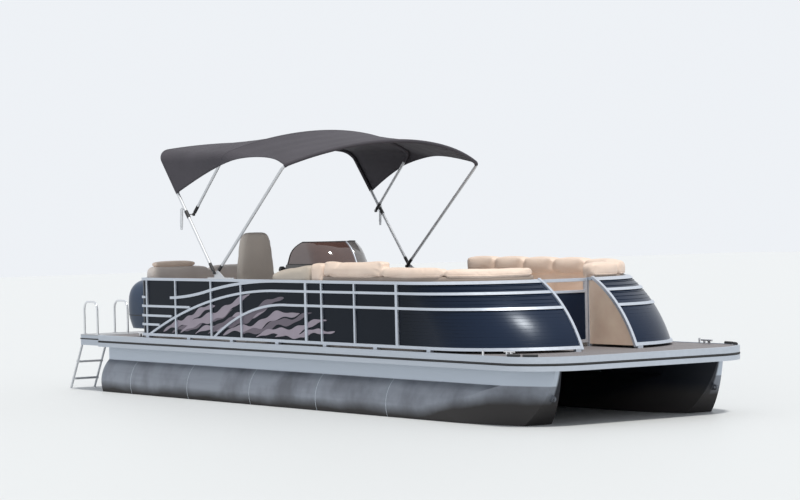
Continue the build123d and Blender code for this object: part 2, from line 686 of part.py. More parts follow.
strip_y = -(FENCE_Y + panel_y) / 2
frame_heights = [(fence_bottom, panel_bottom), (panel_top, FENCE_TOP)]
level_rails = [fence_slice(FENCE_Y, FENCE_Y - FRAME_DEPTH, side_start_x, frame_heights)]
for rail_z, rail_start_x in ((RAIL_2_Z, RAIL_2_LEVEL_X), (RAIL_3_Z, RAIL_3_LEVEL_X)):
    rail_band = [(rail_z - STRIP_W / 2, rail_z + STRIP_W / 2)]
    level_rails.append(fence_slice(FENCE_Y, panel_y, rail_start_x, rail_band))
with BuildPart() as rails_starboard:
    add(level_rails)
    with BuildSketch(Plane.XZ.offset(panel_y)):
        for x in POST_XS:
            with Locations((x, (panel_bottom + panel_top) / 2)):
                Rectangle(POST_W, panel_top - panel_bottom)
        for x in WIDE_POST_XS:
            with Locations((x, (panel_bottom + panel_top) / 2)):
                Rectangle(WIDE_POST_W, panel_top - panel_bottom)
        for z, end_x in SHORT_RAILS:
            with Locations(((side_start_x + end_x) / 2, z)):
                Rectangle(end_x - side_start_x, STRIP_W)
    extrude(amount=RAIL_PROUD)
    for level_x, level_z, bend, low in (
        (RAIL_2_LEVEL_X, RAIL_2_Z, RAIL_2_BEND, RAIL_2_LOW),
        (RAIL_3_LEVEL_X, RAIL_3_Z, RAIL_3_BEND, RAIL_3_LOW),
    ):
        with BuildLine(Plane.XZ.offset(-strip_y)) as fall:
            ThreePointArc((level_x, level_z), bend, low)
        add_strip(fall.line, STRIP_W, RAIL_PROUD)
    with BuildLine(Plane.XZ.offset(-strip_y)) as rise:
        ThreePointArc((RAIL_1_AFT_X, RAIL_1_AFT_Z), RAIL_1_LOW_BEND, RAIL_1_MIDDLE)
        ThreePointArc(RAIL_1_MIDDLE, RAIL_1_HIGH_BEND, (RAIL_1_TOP_X, panel_top + FRAME_W / 2))
    add_strip(rise.line, FRAME_W, RAIL_PROUD)
    foot_pitch = (FOOT_LAST_X - side_start_x - FOOT_W) / (FOOT_COUNT - 1)
    with BuildSketch(Plane.XY.offset(DECK_TOP)):
        for index in range(FOOT_COUNT):
            x = side_start_x + FOOT_W / 2 + index * foot_pitch
            with Locations((x, -FENCE_Y + FRAME_DEPTH / 2)):
                Rectangle(FOOT_W, FRAME_DEPTH)
        with Locations((bow_end_x(fence_bottom) - FRAME_DEPTH / 2, -ARC_Y - FOOT_W / 2)):
            Rectangle(FRAME_DEPTH, FOOT_W)
    extrude(amount=FENCE_FOOT_H)
    with BuildLine(Plane.XZ.offset(ARC_Y - FRAME_W / 2)) as gate_side:
        ThreePointArc(
            (bow_end_x(DECK_TOP + FRAME_W / 2) - FRAME_W / 2, DECK_TOP + FRAME_W / 2),
            (BOW_END_MIDDLE_X - FRAME_W / 2, BOW_END_MIDDLE_Z),
            (BOW_END_TOP_X - FRAME_W / 2, FENCE_TOP),
        )
    add_strip(gate_side.line, FRAME_W, FRAME_W)
    with BuildSketch(Plane.XY.offset(DECK_TOP)):
        with Locations((GATE_X, -ARC_Y + GATE_POST / 2)):
            Rectangle(GATE_POST, GATE_POST)
    extrude(amount=FENCE_TOP - DECK_TOP)
    top_bar_l = BOW_END_TOP_X - FRAME_W - GATE_X
    with BuildSketch(Plane.XY.offset(panel_top)):
        with Locations((GATE_X + top_bar_l / 2, -ARC_Y + GATE_POST / 2)):
            Rectangle(top_bar_l + FRAME_W, GATE_POST)
    extrude(amount=FRAME_W)
    for z in GATE_HINGE_ZS:
        hinge_knuckle(bow_hinge, (0, -1), (1, 0), z - HINGE_LEN - SEAT_GAP)
save(rails_starboard.part, "rails_starboard")

with BuildPart() as rails_port:
    mirror(rails_starboard.part, about=Plane.XZ)
    with BuildSketch(Plane.XY.offset(floor_top)):
        with Locations((side_gate_mid_x, FENCE_Y)):
            Rectangle(side_gate_l, 4 * FRAME_DEPTH)
    extrude(amount=FENCE_TOP, mode=Mode.SUBTRACT)
    with BuildSketch(Plane.XY.offset(DECK_TOP)):
        for side in (-1, 1):
            x = side_gate_mid_x + side * (side_gate_l + GATE_POST) / 2
            with Locations((x, FENCE_Y - FRAME_DEPTH / 2)):
                Rectangle(GATE_POST, FRAME_DEPTH)
    extrude(amount=FENCE_TOP - DECK_TOP)
    for z in GATE_HINGE_ZS:
        hinge_knuckle(side_hinge, (1, 0), (0, 1), z - HINGE_LEN - SEAT_GAP)
save(rails_port.part, "rails_port")


def cheek_x(z):
    """Forward edge of a cheek panel, just inside the curved end rail."""
    inner_r = rake_r - FRAME_W / 2 - SEAT_GAP
    return rake_x - FRAME_W / 2 + sqrt(inner_r**2 - (z - rake_z) ** 2)


with BuildPart() as gate_cheeks:
    cheek_aft_x = GATE_X + GATE_POST / 2 + SEAT_GAP
    cheek_top = panel_top - SEAT_GAP
    cheek_bottom = DECK_TOP + FENCE_FOOT_H
    with BuildSketch(Plane.XZ.offset(ARC_Y - (GATE_POST + CHEEK_T) / 2)):
        with BuildLine():
            Line((cheek_aft_x, cheek_bottom), (cheek_x(cheek_bottom), cheek_bottom))
            ThreePointArc(
                (cheek_x(cheek_bottom), cheek_bottom),
                (cheek_x(BOW_END_MIDDLE_Z), BOW_END_MIDDLE_Z),
                (cheek_x(cheek_top), cheek_top),
            )
            Line((cheek_x(cheek_top), cheek_top), (cheek_aft_x, cheek_top))
            Line((cheek_aft_x, cheek_top), (cheek_aft_x, cheek_bottom))
        make_face()
    extrude(amount=CHEEK_T)
    mirror(about=Plane.XZ)
save(gate_cheeks.part, "gate_cheeks")

# Stern fence: both rounded corners and the run across to the stern gate
with BuildPart() as stern_panels:
    height = panel_top - panel_bottom
    stern_run = corner_band(panel_bottom, STERN_GATE_IN_Y - GATE_POST, panel_y, panel_y - PANEL_T)
    extrude(stern_run, amount=height)
    port_corner = corner_band(panel_bottom, -STERN_GATE_OUT_Y - GATE_POST, panel_y, panel_y - PANEL_T)
    extrude(mirror(port_corner, about=Plane.XZ, mode=Mode.PRIVATE), amount=height)
save(stern_panels.part, "stern_fence_panels")

with BuildPart() as stern_rails:
    for z, height, outer, inner in (
        (fence_bottom, FRAME_W, FENCE_Y, FENCE_Y - FRAME_DEPTH),
        (panel_top, FRAME_W, FENCE_Y, FENCE_Y - FRAME_DEPTH),
        (RAIL_1_AFT_Z - STRIP_W / 2, STRIP_W, FENCE_Y, panel_y),
        (SHORT_RAILS[0][0] - STRIP_W / 2, STRIP_W, FENCE_Y, panel_y),
        (SHORT_RAILS[1][0] - STRIP_W / 2, STRIP_W, FENCE_Y, panel_y),
        (SHORT_RAILS[2][0] - STRIP_W / 2, STRIP_W, FENCE_Y, panel_y),
    ):
        extrude(corner_band(z, STERN_GATE_IN_Y - GATE_POST, outer, inner), amount=height)
        port_corner = corner_band(z, -STERN_GATE_OUT_Y - GATE_POST, outer, inner)
        extrude(mirror(port_corner, about=Plane.XZ, mode=Mode.PRIVATE), amount=height)
    with BuildSketch(Plane.XY.offset(DECK_TOP)):
        for y in (STERN_GATE_IN_Y - GATE_POST / 2, STERN_GATE_OUT_Y + GATE_POST / 2):
            with Locations((FENCE_AFT_X + FRAME_DEPTH / 2, y)):
                Rectangle(FRAME_DEPTH, GATE_POST)
    extrude(amount=FENCE_TOP - DECK_TOP)
    with BuildSketch(Plane.XY.offset(DECK_TOP)):
        for y in STERN_FOOT_YS:
            with Locations((FENCE_AFT_X + FRAME_DEPTH / 2, y)):
                Rectangle(FRAME_DEPTH, FOOT_W)
    extrude(amount=FENCE_FOOT_H)
    for z in GATE_HINGE_ZS:
        hinge_knuckle(stern_hinge, (0, -1), (-1, 0), z - HINGE_LEN - SEAT_GAP)
save(stern_rails.part, "stern_rails")


# Gate leaves: a square tube frame with one thin panel, two knuckles and the rails at the fence's heights
def gate_leaf(plane, width, strips):
    """Add a leaf to the part in work, drawn in a plane whose x runs from hinge edge to latch edge."""
    low = fence_bottom + GATE_LIFT - DECK_TOP
    high = FENCE_TOP - GATE_TOP_DROP - DECK_TOP
    with BuildSketch(plane) as frame:
        with Locations((width / 2, (low + high) / 2)):
            Rectangle(width, high - low)
            Rectangle(width - 2 * GATE_FRAME, high - low - 2 * GATE_FRAME, mode=Mode.SUBTRACT)
        for z in strips:
            with Locations((width / 2, z - DECK_TOP)):
                Rectangle(width, STRIP_W)
    extrude(frame.sketch, amount=GATE_FRAME / 2, both=True)
    with BuildSketch(plane) as panel:
        with Locations((width / 2, (low + high) / 2)):
            Rectangle(width - 2 * GATE_FRAME, high - low - 2 * GATE_FRAME)
    extrude(panel.sketch, amount=GATE_PANEL_T / 2, both=True)


with BuildPart() as bow_gate:
    leaf_w = 2 * (ARC_Y - GATE_POST - MOVING_GAP)
    leaf_y = -ARC_Y + GATE_POST + MOVING_GAP
    leaf_plane = Plane(origin=(GATE_X, leaf_y, DECK_TOP), x_dir=(0, 1, 0), z_dir=(1, 0, 0))
    gate_leaf(leaf_plane, leaf_w, (GATE_STRIP_Z,))
    for z in GATE_HINGE_ZS:
        hinge_knuckle(bow_hinge, (0, 1), (1, 0), z)
save(bow_gate.part, "bow_gate")

with BuildPart() as side_gate:
    leaf_w = side_gate_l - 2 * MOVING_GAP
    leaf_x = SIDE_GATE_FRONT_X - MOVING_GAP
    gate_leaf(
        Plane(origin=(leaf_x, side_leaf_y, DECK_TOP), x_dir=(-1, 0, 0), z_dir=(0, 1, 0)),
        leaf_w,
        (RAIL_2_Z, RAIL_3_Z),
    )
    for z in GATE_HINGE_ZS:
        hinge_knuckle(side_hinge, (-1, 0), (0, 1), z)
save(side_gate.part, "side_gate")

with BuildPart() as stern_gate:
    leaf_w = STERN_GATE_OUT_Y - STERN_GATE_IN_Y - 2 * MOVING_GAP
    leaf_y = STERN_GATE_IN_Y + MOVING_GAP
    gate_leaf(
        Plane(origin=(stern_leaf_x, leaf_y, DECK_TOP), x_dir=(0, 1, 0), z_dir=(1, 0, 0)),
        leaf_w,
        (RAIL_1_AFT_Z, SHORT_RAILS[1][0]),
    )
    for z in GATE_HINGE_ZS:
        hinge_knuckle(stern_hinge, (0, 1), (-1, 0), z)
save(stern_gate.part, "stern_gate")


# Seats: moulded base, seat cushion and back cushion, each following the fence in to the bow gate
seat_outer_y = panel_y - PANEL_T - LOUNGE_GAP
seat_inner_y = seat_outer_y - LOUNGE_DEPTH
base_top = floor_top + LOUNGE_BASE_H
cushion_top = base_top + CUSHION_T


def lounge_base(aft_x):
    """Base of a bow lounge with a toe recess along the aisle."""
    with BuildPart() as base:
        recess = side_band(floor_top, aft_x, BOW_END_TOP_X, seat_outer_y, seat_inner_y + LOUNGE_KICK)
        extrude(recess, amount=TOE_H)
        upper = side_band(floor_top + TOE_H, aft_x, BOW_END_TOP_X, seat_outer_y, seat_inner_y)
        extrude(upper, amount=LOUNGE_BASE_H - TOE_H)
    return base.part


def lounge_seat(aft_x):
    """Seat cushion of a bow lounge, ahead of nothing but the aisle."""
    with BuildPart() as seat:
        plan = side_band(base_top, aft_x, BOW_END_TOP_X, seat_outer_y, seat_inner_y - SEAT_NOSE)
        extrude(plan, amount=CUSHION_T)
    return seat.part


def lounge_back(aft_x, high_end_x):
    """Back cushion along the fence, higher as far forward as high_end_x."""
    with BuildPart() as back:
        low = side_band(cushion_top, aft_x, BOW_END_TOP_X, seat_outer_y, seat_outer_y - BACK_T)
        extrude(low, amount=BACK_TOP - cushion_top)
        with BuildSketch(Plane.XY.offset(BACK_TOP)):
            with Locations(((aft_x + high_end_x) / 2, -seat_outer_y + BACK_T / 2)):
                Rectangle(high_end_x - aft_x, BACK_T)
        extrude(amount=HIGH_BACK_TOP - BACK_TOP)
    return back.part


starboard_base = lounge_base(LOUNGE_AFT_X)
save(starboard_base, "lounge_base_starboard")
starboard_seat = lounge_seat(LOUNGE_AFT_X)
save(starboard_seat, "lounge_seat_starboard")
starboard_back = lounge_back(LOUNGE_AFT_X, HIGH_BACK_FRONT_X)
save(starboard_back, "lounge_back_starboard")
save(mirror(lounge_base(PORT_LOUNGE_AFT_X), about=Plane.XZ), "lounge_base_port")
save(mirror(lounge_seat(PORT_LOUNGE_AFT_X), about=Plane.XZ), "lounge_seat_port")
save(mirror(lounge_back(PORT_LOUNGE_AFT_X, PORT_HIGH_FRONT_X), about=Plane.XZ), "lounge_back_port")

stern_seat_aft_x = FENCE_AFT_X + RAIL_PROUD + PANEL_T + LOUNGE_GAP + FRAME_DEPTH / 2
stern_seat_mid_y = (STERN_SEAT_PORT_Y - seat_outer_y) / 2
stern_seat_w = STERN_SEAT_PORT_Y + seat_outer_y


def stern_block(z, height, front_x, corner_r):
    """Plain block of the stern seat, rounded at its two forward corners."""
    with BuildPart() as block:
        with BuildSketch(Plane.XY.offset(z)) as plan:
            with Locations(((stern_seat_aft_x + front_x) / 2, stern_seat_mid_y)):
                Rectangle(front_x - stern_seat_aft_x, stern_seat_w)
            fillet(plan.vertices().group_by(Axis.X)[-1], corner_r)
            aft_corner = plan.vertices().group_by(Axis.X)[0].sort_by(Axis.Y)[0]
            fillet(aft_corner, FENCE_CORNER_R - RAIL_PROUD - PANEL_T)
        extrude(amount=height)
    return block.part


stern_front_x = stern_seat_aft_x + STERN_SEAT_DEPTH
save(stern_block(floor_top, LOUNGE_BASE_H, stern_front_x - LOUNGE_KICK, SEAT_CORNER_R), "stern_base")
save(stern_block(base_top, CUSHION_T, stern_front_x, SEAT_CORNER_R), "stern_seat")
stern_back_h = STERN_BACK_TOP - cushion_top
save(stern_block(cushion_top, stern_back_h, stern_seat_aft_x + BACK_T, SEAT_CORNER_R / 2), "stern_back")

# Helm: console with kneehole and sloped dash, wrap-round screen, wheel, throttle and swivel chair
dash_z = CONSOLE_TOP - DASH_H
console_out_y = HELM_Y - CONSOLE_HALF
with BuildPart() as console:
    with BuildSketch(Plane.XY.offset(floor_top)) as console_plan:
        with Locations(((CONSOLE_AFT_X + CONSOLE_FRONT_X) / 2, HELM_Y)):
            Rectangle(CONSOLE_FRONT_X - CONSOLE_AFT_X, 2 * CONSOLE_HALF)
        fillet(console_plan.vertices().group_by(Axis.X)[-1], CONSOLE_R)
    extrude(amount=CONSOLE_TOP - floor_top)
    with BuildSketch(Plane.XZ.offset(-HELM_Y - CONSOLE_HALF)):
        with BuildLine():
            Polyline(
                (CONSOLE_AFT_X, dash_z),
                (CONSOLE_AFT_X + DASH_DEPTH, CONSOLE_TOP),
                (CONSOLE_AFT_X, CONSOLE_TOP),
                close=True,
            )
        make_face()
    extrude(amount=2 * CONSOLE_HALF, mode=Mode.SUBTRACT)
    with BuildSketch(Plane.XY.offset(floor_top)):
        with Locations((CONSOLE_AFT_X + KNEEHOLE_D / 2, HELM_Y)):
            Rectangle(KNEEHOLE_D, 2 * (CONSOLE_HALF - CONSOLE_WALL))
    extrude(amount=KNEEHOLE_H, mode=Mode.SUBTRACT)
    dash_angle = degrees(atan2(CONSOLE_TOP - dash_z, DASH_DEPTH))
    dash_mid = (CONSOLE_AFT_X + DASH_DEPTH / 2, HELM_Y, (dash_z + CONSOLE_TOP) / 2)
    wheel_dir = (-sin(radians(dash_angle)), 0, cos(radians(dash_angle)))
    with BuildSketch(Plane(origin=dash_mid, x_dir=(0, 1, 0), z_dir=wheel_dir)):
        Circle(COLUMN_R)
    extrude(amount=WHEEL_STANDOFF - WHEEL_HUB_T / 2 - SEAT_GAP)
    with BuildSketch(Plane(origin=dash_mid, x_dir=(0, 1, 0), z_dir=wheel_dir)):
        Circle(COLUMN_R)
    extrude(amount=-COLUMN_R)
    with BuildSketch(Plane.XY.offset(floor_top)):
        with Locations(((COAMING_AFT_X + LOUNGE_AFT_X) / 2, -(seat_outer_y - console_out_y) / 2)):
            Rectangle(LOUNGE_AFT_X - COAMING_AFT_X - SEAT_GAP, seat_outer_y + console_out_y)
    extrude(amount=COAMING_SEAT_Z - floor_top)
save(console.part, "helm_console")

with BuildPart() as coaming:
    with BuildSketch(Plane.XY.offset(COAMING_SEAT_Z)) as pad:
        with Locations(((COAMING_AFT_X + LOUNGE_AFT_X) / 2, -(seat_outer_y - console_out_y) / 2)):
            Rectangle(LOUNGE_AFT_X - COAMING_AFT_X - 2 * SEAT_GAP, seat_outer_y + console_out_y - SEAT_GAP)
        fillet(pad.vertices().group_by(Axis.X)[0], COAMING_R)
    extrude(amount=COAMING_TOP - COAMING_SEAT_Z)
save(coaming.part, "coaming_pad")


def screen_ring(share, aft_run, rake, lean):
    """U of the windscreen at a share of its height, open aft, set in from its foot by rake and lean."""
    z = CONSOLE_TOP + SCREEN_H * share
    aft_x = CONSOLE_AFT_X + DASH_DEPTH + aft_run
    front_x = CONSOLE_FRONT_X - SCREEN_INSET - rake
    half = CONSOLE_HALF - SCREEN_INSET - lean
    corner_r = SCREEN_CORNER_R - lean
    with BuildSketch(Plane.XY.offset(z)) as ring:
        with BuildLine():
            ends = []
            for inset in (0, SCREEN_T):
                reach = front_x - inset
                side = half - inset
                bend = corner_r - inset
                diagonal = bend * (1 - sqrt(0.5))
                Line((aft_x, HELM_Y - side), (reach - bend, HELM_Y - side))
                ThreePointArc(
                    (reach - bend, HELM_Y - side),
                    (reach - diagonal, HELM_Y - side + diagonal),
                    (reach, HELM_Y - side + bend),
                )
                Line((reach, HELM_Y - side + bend), (reach, HELM_Y + side - bend))
                ThreePointArc(
                    (reach, HELM_Y + side - bend),
                    (reach - diagonal, HELM_Y + side - diagonal),
                    (reach - bend, HELM_Y + side),
                )
                Line((reach - bend, HELM_Y + side), (aft_x, HELM_Y + side))
                ends.append(side)
            for sign in (-1, 1):
                Line((aft_x, HELM_Y + sign * ends[0]), (aft_x, HELM_Y + sign * ends[1]))
        make_face()
    return ring.sketch


with BuildPart() as windscreen:
    loft(sections=[screen_ring(*level) for level in SCREEN_LEVELS], ruled=True)
save(windscreen.part, "windscreen")

wheel_centre = tuple(m + d * WHEEL_STANDOFF for m, d in zip(dash_mid, wheel_dir))
wheel_plane = Plane(origin=wheel_centre, x_dir=(0, 1, 0), z_dir=wheel_dir)
with BuildPart() as steering_wheel:
    with BuildSketch(Plane(origin=wheel_centre, x_dir=wheel_dir, z_dir=(0, 1, 0))):
        with Locations((0, WHEEL_R)):
            Circle(WHEEL_RIM_R)
    revolve(axis=Axis(wheel_centre, wheel_dir))
    with BuildSketch(wheel_plane):
        Circle(WHEEL_HUB_R)
        with PolarLocations(WHEEL_R / 2, WHEEL_SPOKES, start_angle=90):
            Rectangle(WHEEL_R, SPOKE_W)
    extrude(amount=WHEEL_HUB_T / 2, both=True)
save(steering_wheel.part, "steering_wheel")

with BuildPart() as throttle:
    dash_plane = Plane(origin=(dash_mid[0], THROTTLE_Y, dash_mid[2]), x_dir=(0, 1, 0), z_dir=wheel_dir)
    with BuildSketch(dash_plane):
        Rectangle(THROTTLE_W, THROTTLE_L)
    extrude(amount=THROTTLE_BASE_H)
    with BuildSketch(dash_plane.offset(THROTTLE_BASE_H)):
        with Locations((0, THROTTLE_L / 4)):
            Rectangle(LEVER_W, LEVER_T)
    extrude(amount=LEVER_L)
    with BuildSketch(dash_plane.offset(THROTTLE_BASE_H + LEVER_L)):
        with Locations((0, THROTTLE_L / 4)):
            RectangleRounded(THROTTLE_W, 2 * LEVER_T, LEVER_T * 0.6)
    extrude(amount=KNOB_H)
save(throttle.part, "throttle")

with BuildPart() as pedestal:
    with BuildSketch(Plane.XY.offset(floor_top)):
        with Locations((CHAIR_X, CHAIR_Y)):
            Circle(PEDESTAL_BASE_R)
    extrude(amount=PEDESTAL_BASE_T)
    with BuildSketch(Plane.XY.offset(floor_top)):
        with Locations((CHAIR_X, CHAIR_Y)):
            Circle(PEDESTAL_R)
    extrude(amount=CHAIR_SEAT_Z - CHAIR_SEAT_T - SHELL_T - SEAT_GAP - floor_top)
save(pedestal.part, "helm_pedestal")

with BuildPart() as helm_chair:
    shell_z = CHAIR_SEAT_Z - CHAIR_SEAT_T - SHELL_T
    with BuildSketch(Plane.XY.offset(shell_z)):
        with Locations((CHAIR_X, CHAIR_Y)):
            RectangleRounded(CHAIR_D, CHAIR_W, CHAIR_R)
    extrude(amount=SHELL_T + CHAIR_SEAT_T)
    back_h = SHELL_T + CHAIR_SEAT_T + CHAIR_BACK_H
    with BuildSketch(Plane.YZ.offset(CHAIR_X - CHAIR_D / 2)) as back:
        with BuildLine():
            Polyline(
                (CHAIR_Y - CHAIR_W / 2 + CHAIR_R, shell_z),
                (CHAIR_Y - CHAIR_W / 2, shell_z + back_h * CHAIR_WAIST),
                (CHAIR_Y - CHAIR_HEAD_W / 2, shell_z + back_h),
                (CHAIR_Y + CHAIR_HEAD_W / 2, shell_z + back_h),
                (CHAIR_Y + CHAIR_W / 2, shell_z + back_h * CHAIR_WAIST),
                (CHAIR_Y + CHAIR_W / 2 - CHAIR_R, shell_z),
                close=True,
            )
        make_face()
        fillet(back.vertices().group_by(Axis.Y)[-1], CHAIR_HEAD_R)
    extrude(amount=CHAIR_BACK_T)
    with BuildSketch(Plane.XY.offset(CHAIR_SEAT_Z)):
        for side in (-1, 1):
            with Locations((CHAIR_X - ARM_L / 4, CHAIR_Y + side * (CHAIR_W - ARM_W) / 2)):
                RectangleRounded(ARM_L, ARM_W, ARM_W * 0.4)
    extrude(amount=ARM_H)
save(helm_chair.part, "helm_chair")


# Bimini top: each hoop lies in a plane through its pivots, tilted from upright by its lean
def hoop_plane(pivot_x, pivot_z, lean):
    """Plane of a hoop, x to port and y up along its legs, its origin between the pivots."""
    up = (-sin(radians(lean)), 0, cos(radians(lean)))
    normal = (cos(radians(lean)), 0, sin(radians(lean)))
    return Plane(origin=(pivot_x, 0, pivot_z), x_dir=(0, 1, 0), z_dir=normal), up


def hoop_points(half, shoulder, corner_r, turn, grow):
    """Corner arc and crown of a hoop in its plane, grown outwards by a margin."""
    r = corner_r + grow
    cx = half - corner_r
    bend = radians(turn)
    mid = bend / 2
    corner_mid = (cx + r * cos(mid), shoulder + r * sin(mid))
    corner_end = (cx + r * cos(bend), shoulder + r * sin(bend))
    crown = corner_end[1] + corner_end[0] * tan((radians(90) - bend) / 2)
    return (half + grow, shoulder), corner_mid, corner_end, crown


def flip(point):
    """The same point on the starboard side of a hoop's plane."""
    return (-point[0], point[1])


def bow(plane, half, shoulder, corner_r, turn):
    """One bent tube from pivot to pivot, with an eye at each foot."""
    foot, corner_mid, corner_end, crown = hoop_points(half, shoulder, corner_r, turn, 0)
    with BuildPart() as tube_bow:
        with BuildLine(plane) as route:
            Line((-half, EYE_R * LEG_IN_EYE), flip(foot))
            ThreePointArc(flip(foot), flip(corner_mid), flip(corner_end))
            ThreePointArc(flip(corner_end), (0, crown), corner_end)
            ThreePointArc(corner_end, corner_mid, foot)
            Line(foot, (half, EYE_R * LEG_IN_EYE))
        with BuildSketch(Plane(origin=route.line @ 0, x_dir=(0, 1, 0), z_dir=route.line % 0)) as section:
            Circle(BIMINI_TUBE_R)
        sweep(section.sketch, path=route.line)
        for side in (-1, 1):
            origin = plane.from_local_coords((side * half - EYE_W / 2, 0, 0))
            with BuildSketch(Plane(origin=origin, x_dir=plane.z_dir, z_dir=(0, 1, 0))) as eye:
                Circle(EYE_R)
            extrude(eye.sketch, amount=EYE_W)
            with BuildSketch(Plane(origin=origin, x_dir=plane.z_dir, z_dir=(0, 1, 0))) as bore:
                Circle(PIVOT_R + PIN_GAP)
            extrude(bore.sketch, amount=EYE_W, mode=Mode.SUBTRACT)
    return tube_bow.part


rear_plane, rear_up = hoop_plane(BIMINI_X, BIMINI_Z, REAR_LEAN)
front_plane, front_up = hoop_plane(BIMINI_X, BIMINI_Z, FRONT_LEAN)
mid_pivot_x = BIMINI_X + MID_PIVOT_L * rear_up[0]
mid_pivot_z = BIMINI_Z + MID_PIVOT_L * rear_up[2]
mid_plane, mid_up = hoop_plane(mid_pivot_x, mid_pivot_z, MID_LEAN)

rear_tube = bow(rear_plane, rear_half, REAR_SHOULDER, REAR_CORNER_R, REAR_CORNER_TURN)
with BuildPart() as rear_bow:
    add(rear_tube)
    for side in (-1, 1):
        with BuildSketch(Plane.XZ.offset(-side * rear_half)):
            with Locations((mid_pivot_x, mid_pivot_z)):
                Circle(PIVOT_R)
        extrude(amount=side * (rear_half - middle_half + EYE_W / 2 + PIVOT_R / 2))
save(rear_bow.part, "bimini_rear_bow")
save(bow(front_plane, front_half, FRONT_SHOULDER, FRONT_CORNER_R, FRONT_CORNER_TURN), "bimini_front_bow")
save(bow(mid_plane, middle_half, MID_SHOULDER, MID_CORNER_R, MID_CORNER_TURN), "bimini_middle_bow")

with BuildPart() as bimini_mounts:
    with BuildSketch(Plane.XY.offset(FENCE_TOP)):
        for side in (-1, 1):
            with Locations((PLATE_X, side * (FENCE_Y - FRAME_DEPTH / 2))):
                Rectangle(PLATE_L, PLATE_W)
    extrude(amount=PLATE_T)
    for side in (-1, 1):
        with BuildSketch(Plane.XZ.offset(-side * lug_y - LUG_T / 2)):
            with BuildLine():
                Polyline(
                    (BIMINI_X - LUG_FOOT, FENCE_TOP),
                    (BIMINI_X + LUG_FOOT, FENCE_TOP),
                    (BIMINI_X + LUG_HEAD, BIMINI_Z),
                    (BIMINI_X, BIMINI_Z + LUG_HEAD),
                    (BIMINI_X - LUG_HEAD, BIMINI_Z),
                    close=True,
                )
            make_face()
        extrude(amount=LUG_T)
        with BuildSketch(Plane.XZ.offset(-side * lug_y)):
            with Locations((BIMINI_X, BIMINI_Z)):
                Circle(PIVOT_R)
        extrude(amount=(rear_half - front_half + EYE_W) / 2, both=True)
save(bimini_mounts.part, "bimini_mounts")


def canvas_section(plane, half, shoulder, corner_r, turn, flap):
    """Thin face of the canvas in a hoop's plane, lying just outside the tube."""
    inner = CANVAS_LIFT
    outer = inner + CANVAS_T
    foot_i, mid_i, end_i, crown_i = hoop_points(half, shoulder, corner_r, turn, inner)
    foot_o, mid_o, end_o, crown_o = hoop_points(half, shoulder, corner_r, turn, outer)
    low_i = (foot_i[0], shoulder - flap)
    low_o = (foot_o[0], shoulder - flap)
    with BuildSketch(plane) as section:
        with BuildLine():
            Line(flip(low_o), flip(foot_o))
            ThreePointArc(flip(foot_o), flip(mid_o), flip(end_o))
            ThreePointArc(flip(end_o), (0, crown_o), end_o)
            ThreePointArc(end_o, mid_o, foot_o)
            Line(foot_o, low_o)
            Line(low_o, low_i)
            Line(low_i, foot_i)
            ThreePointArc(foot_i, mid_i, end_i)
            ThreePointArc(end_i, (0, crown_i), flip(end_i))
            ThreePointArc(flip(end_i), flip(mid_i), flip(foot_i))
            Line(flip(foot_i), flip(low_i))
            Line(flip(low_i), flip(low_o))
        make_face()
    return section.sketch


with BuildPart() as canvas:
    sections = [
        canvas_section(rear_plane, rear_half, REAR_SHOULDER, REAR_CORNER_R, REAR_CORNER_TURN, REAR_FLAP),
        canvas_section(mid_plane, middle_half, MID_SHOULDER, MID_CORNER_R, MID_CORNER_TURN, MID_FLAP),
        canvas_section(
            front_plane, front_half, FRONT_SHOULDER, FRONT_CORNER_R, FRONT_CORNER_TURN, FRONT_FLAP
        ),
    ]
    loft(sections=sections, ruled=True)
save(canvas.part, "bimini_canvas")

# Outboard motor
with BuildPart() as motor_clamp:
    for side in (-1, 1):
        with BuildSketch(Plane.XZ.offset(-side * CLAMP_Y - CLAMP_T / 2)):
            with BuildLine():
                Polyline(
                    (POD_AFT_X, CLAMP_BOTTOM),
                    (POD_AFT_X, TRANSOM_Z + CLAMP_HOOK),
                    (TILT_X, TRANSOM_Z + CLAMP_HOOK),
                    (TILT_X - CLAMP_EAR, TILT_Z),
                    (POD_AFT_X - CLAMP_EAR, CLAMP_BOTTOM),
                    close=True,
                )
            make_face()
            with Locations((TILT_X, TILT_Z)):
                Circle(TILT_R + PIN_GAP, mode=Mode.SUBTRACT)
        extrude(amount=CLAMP_T)
    with BuildSketch(Plane.XY.offset(TRANSOM_Z)):
        for side in (-1, 1):
            with Locations((POD_AFT_X + TRANSOM_T / 2, side * CLAMP_Y)):
                Rectangle(TRANSOM_T, CLAMP_T)
    extrude(amount=CLAMP_HOOK)
save(motor_clamp.part, "motor_clamp")

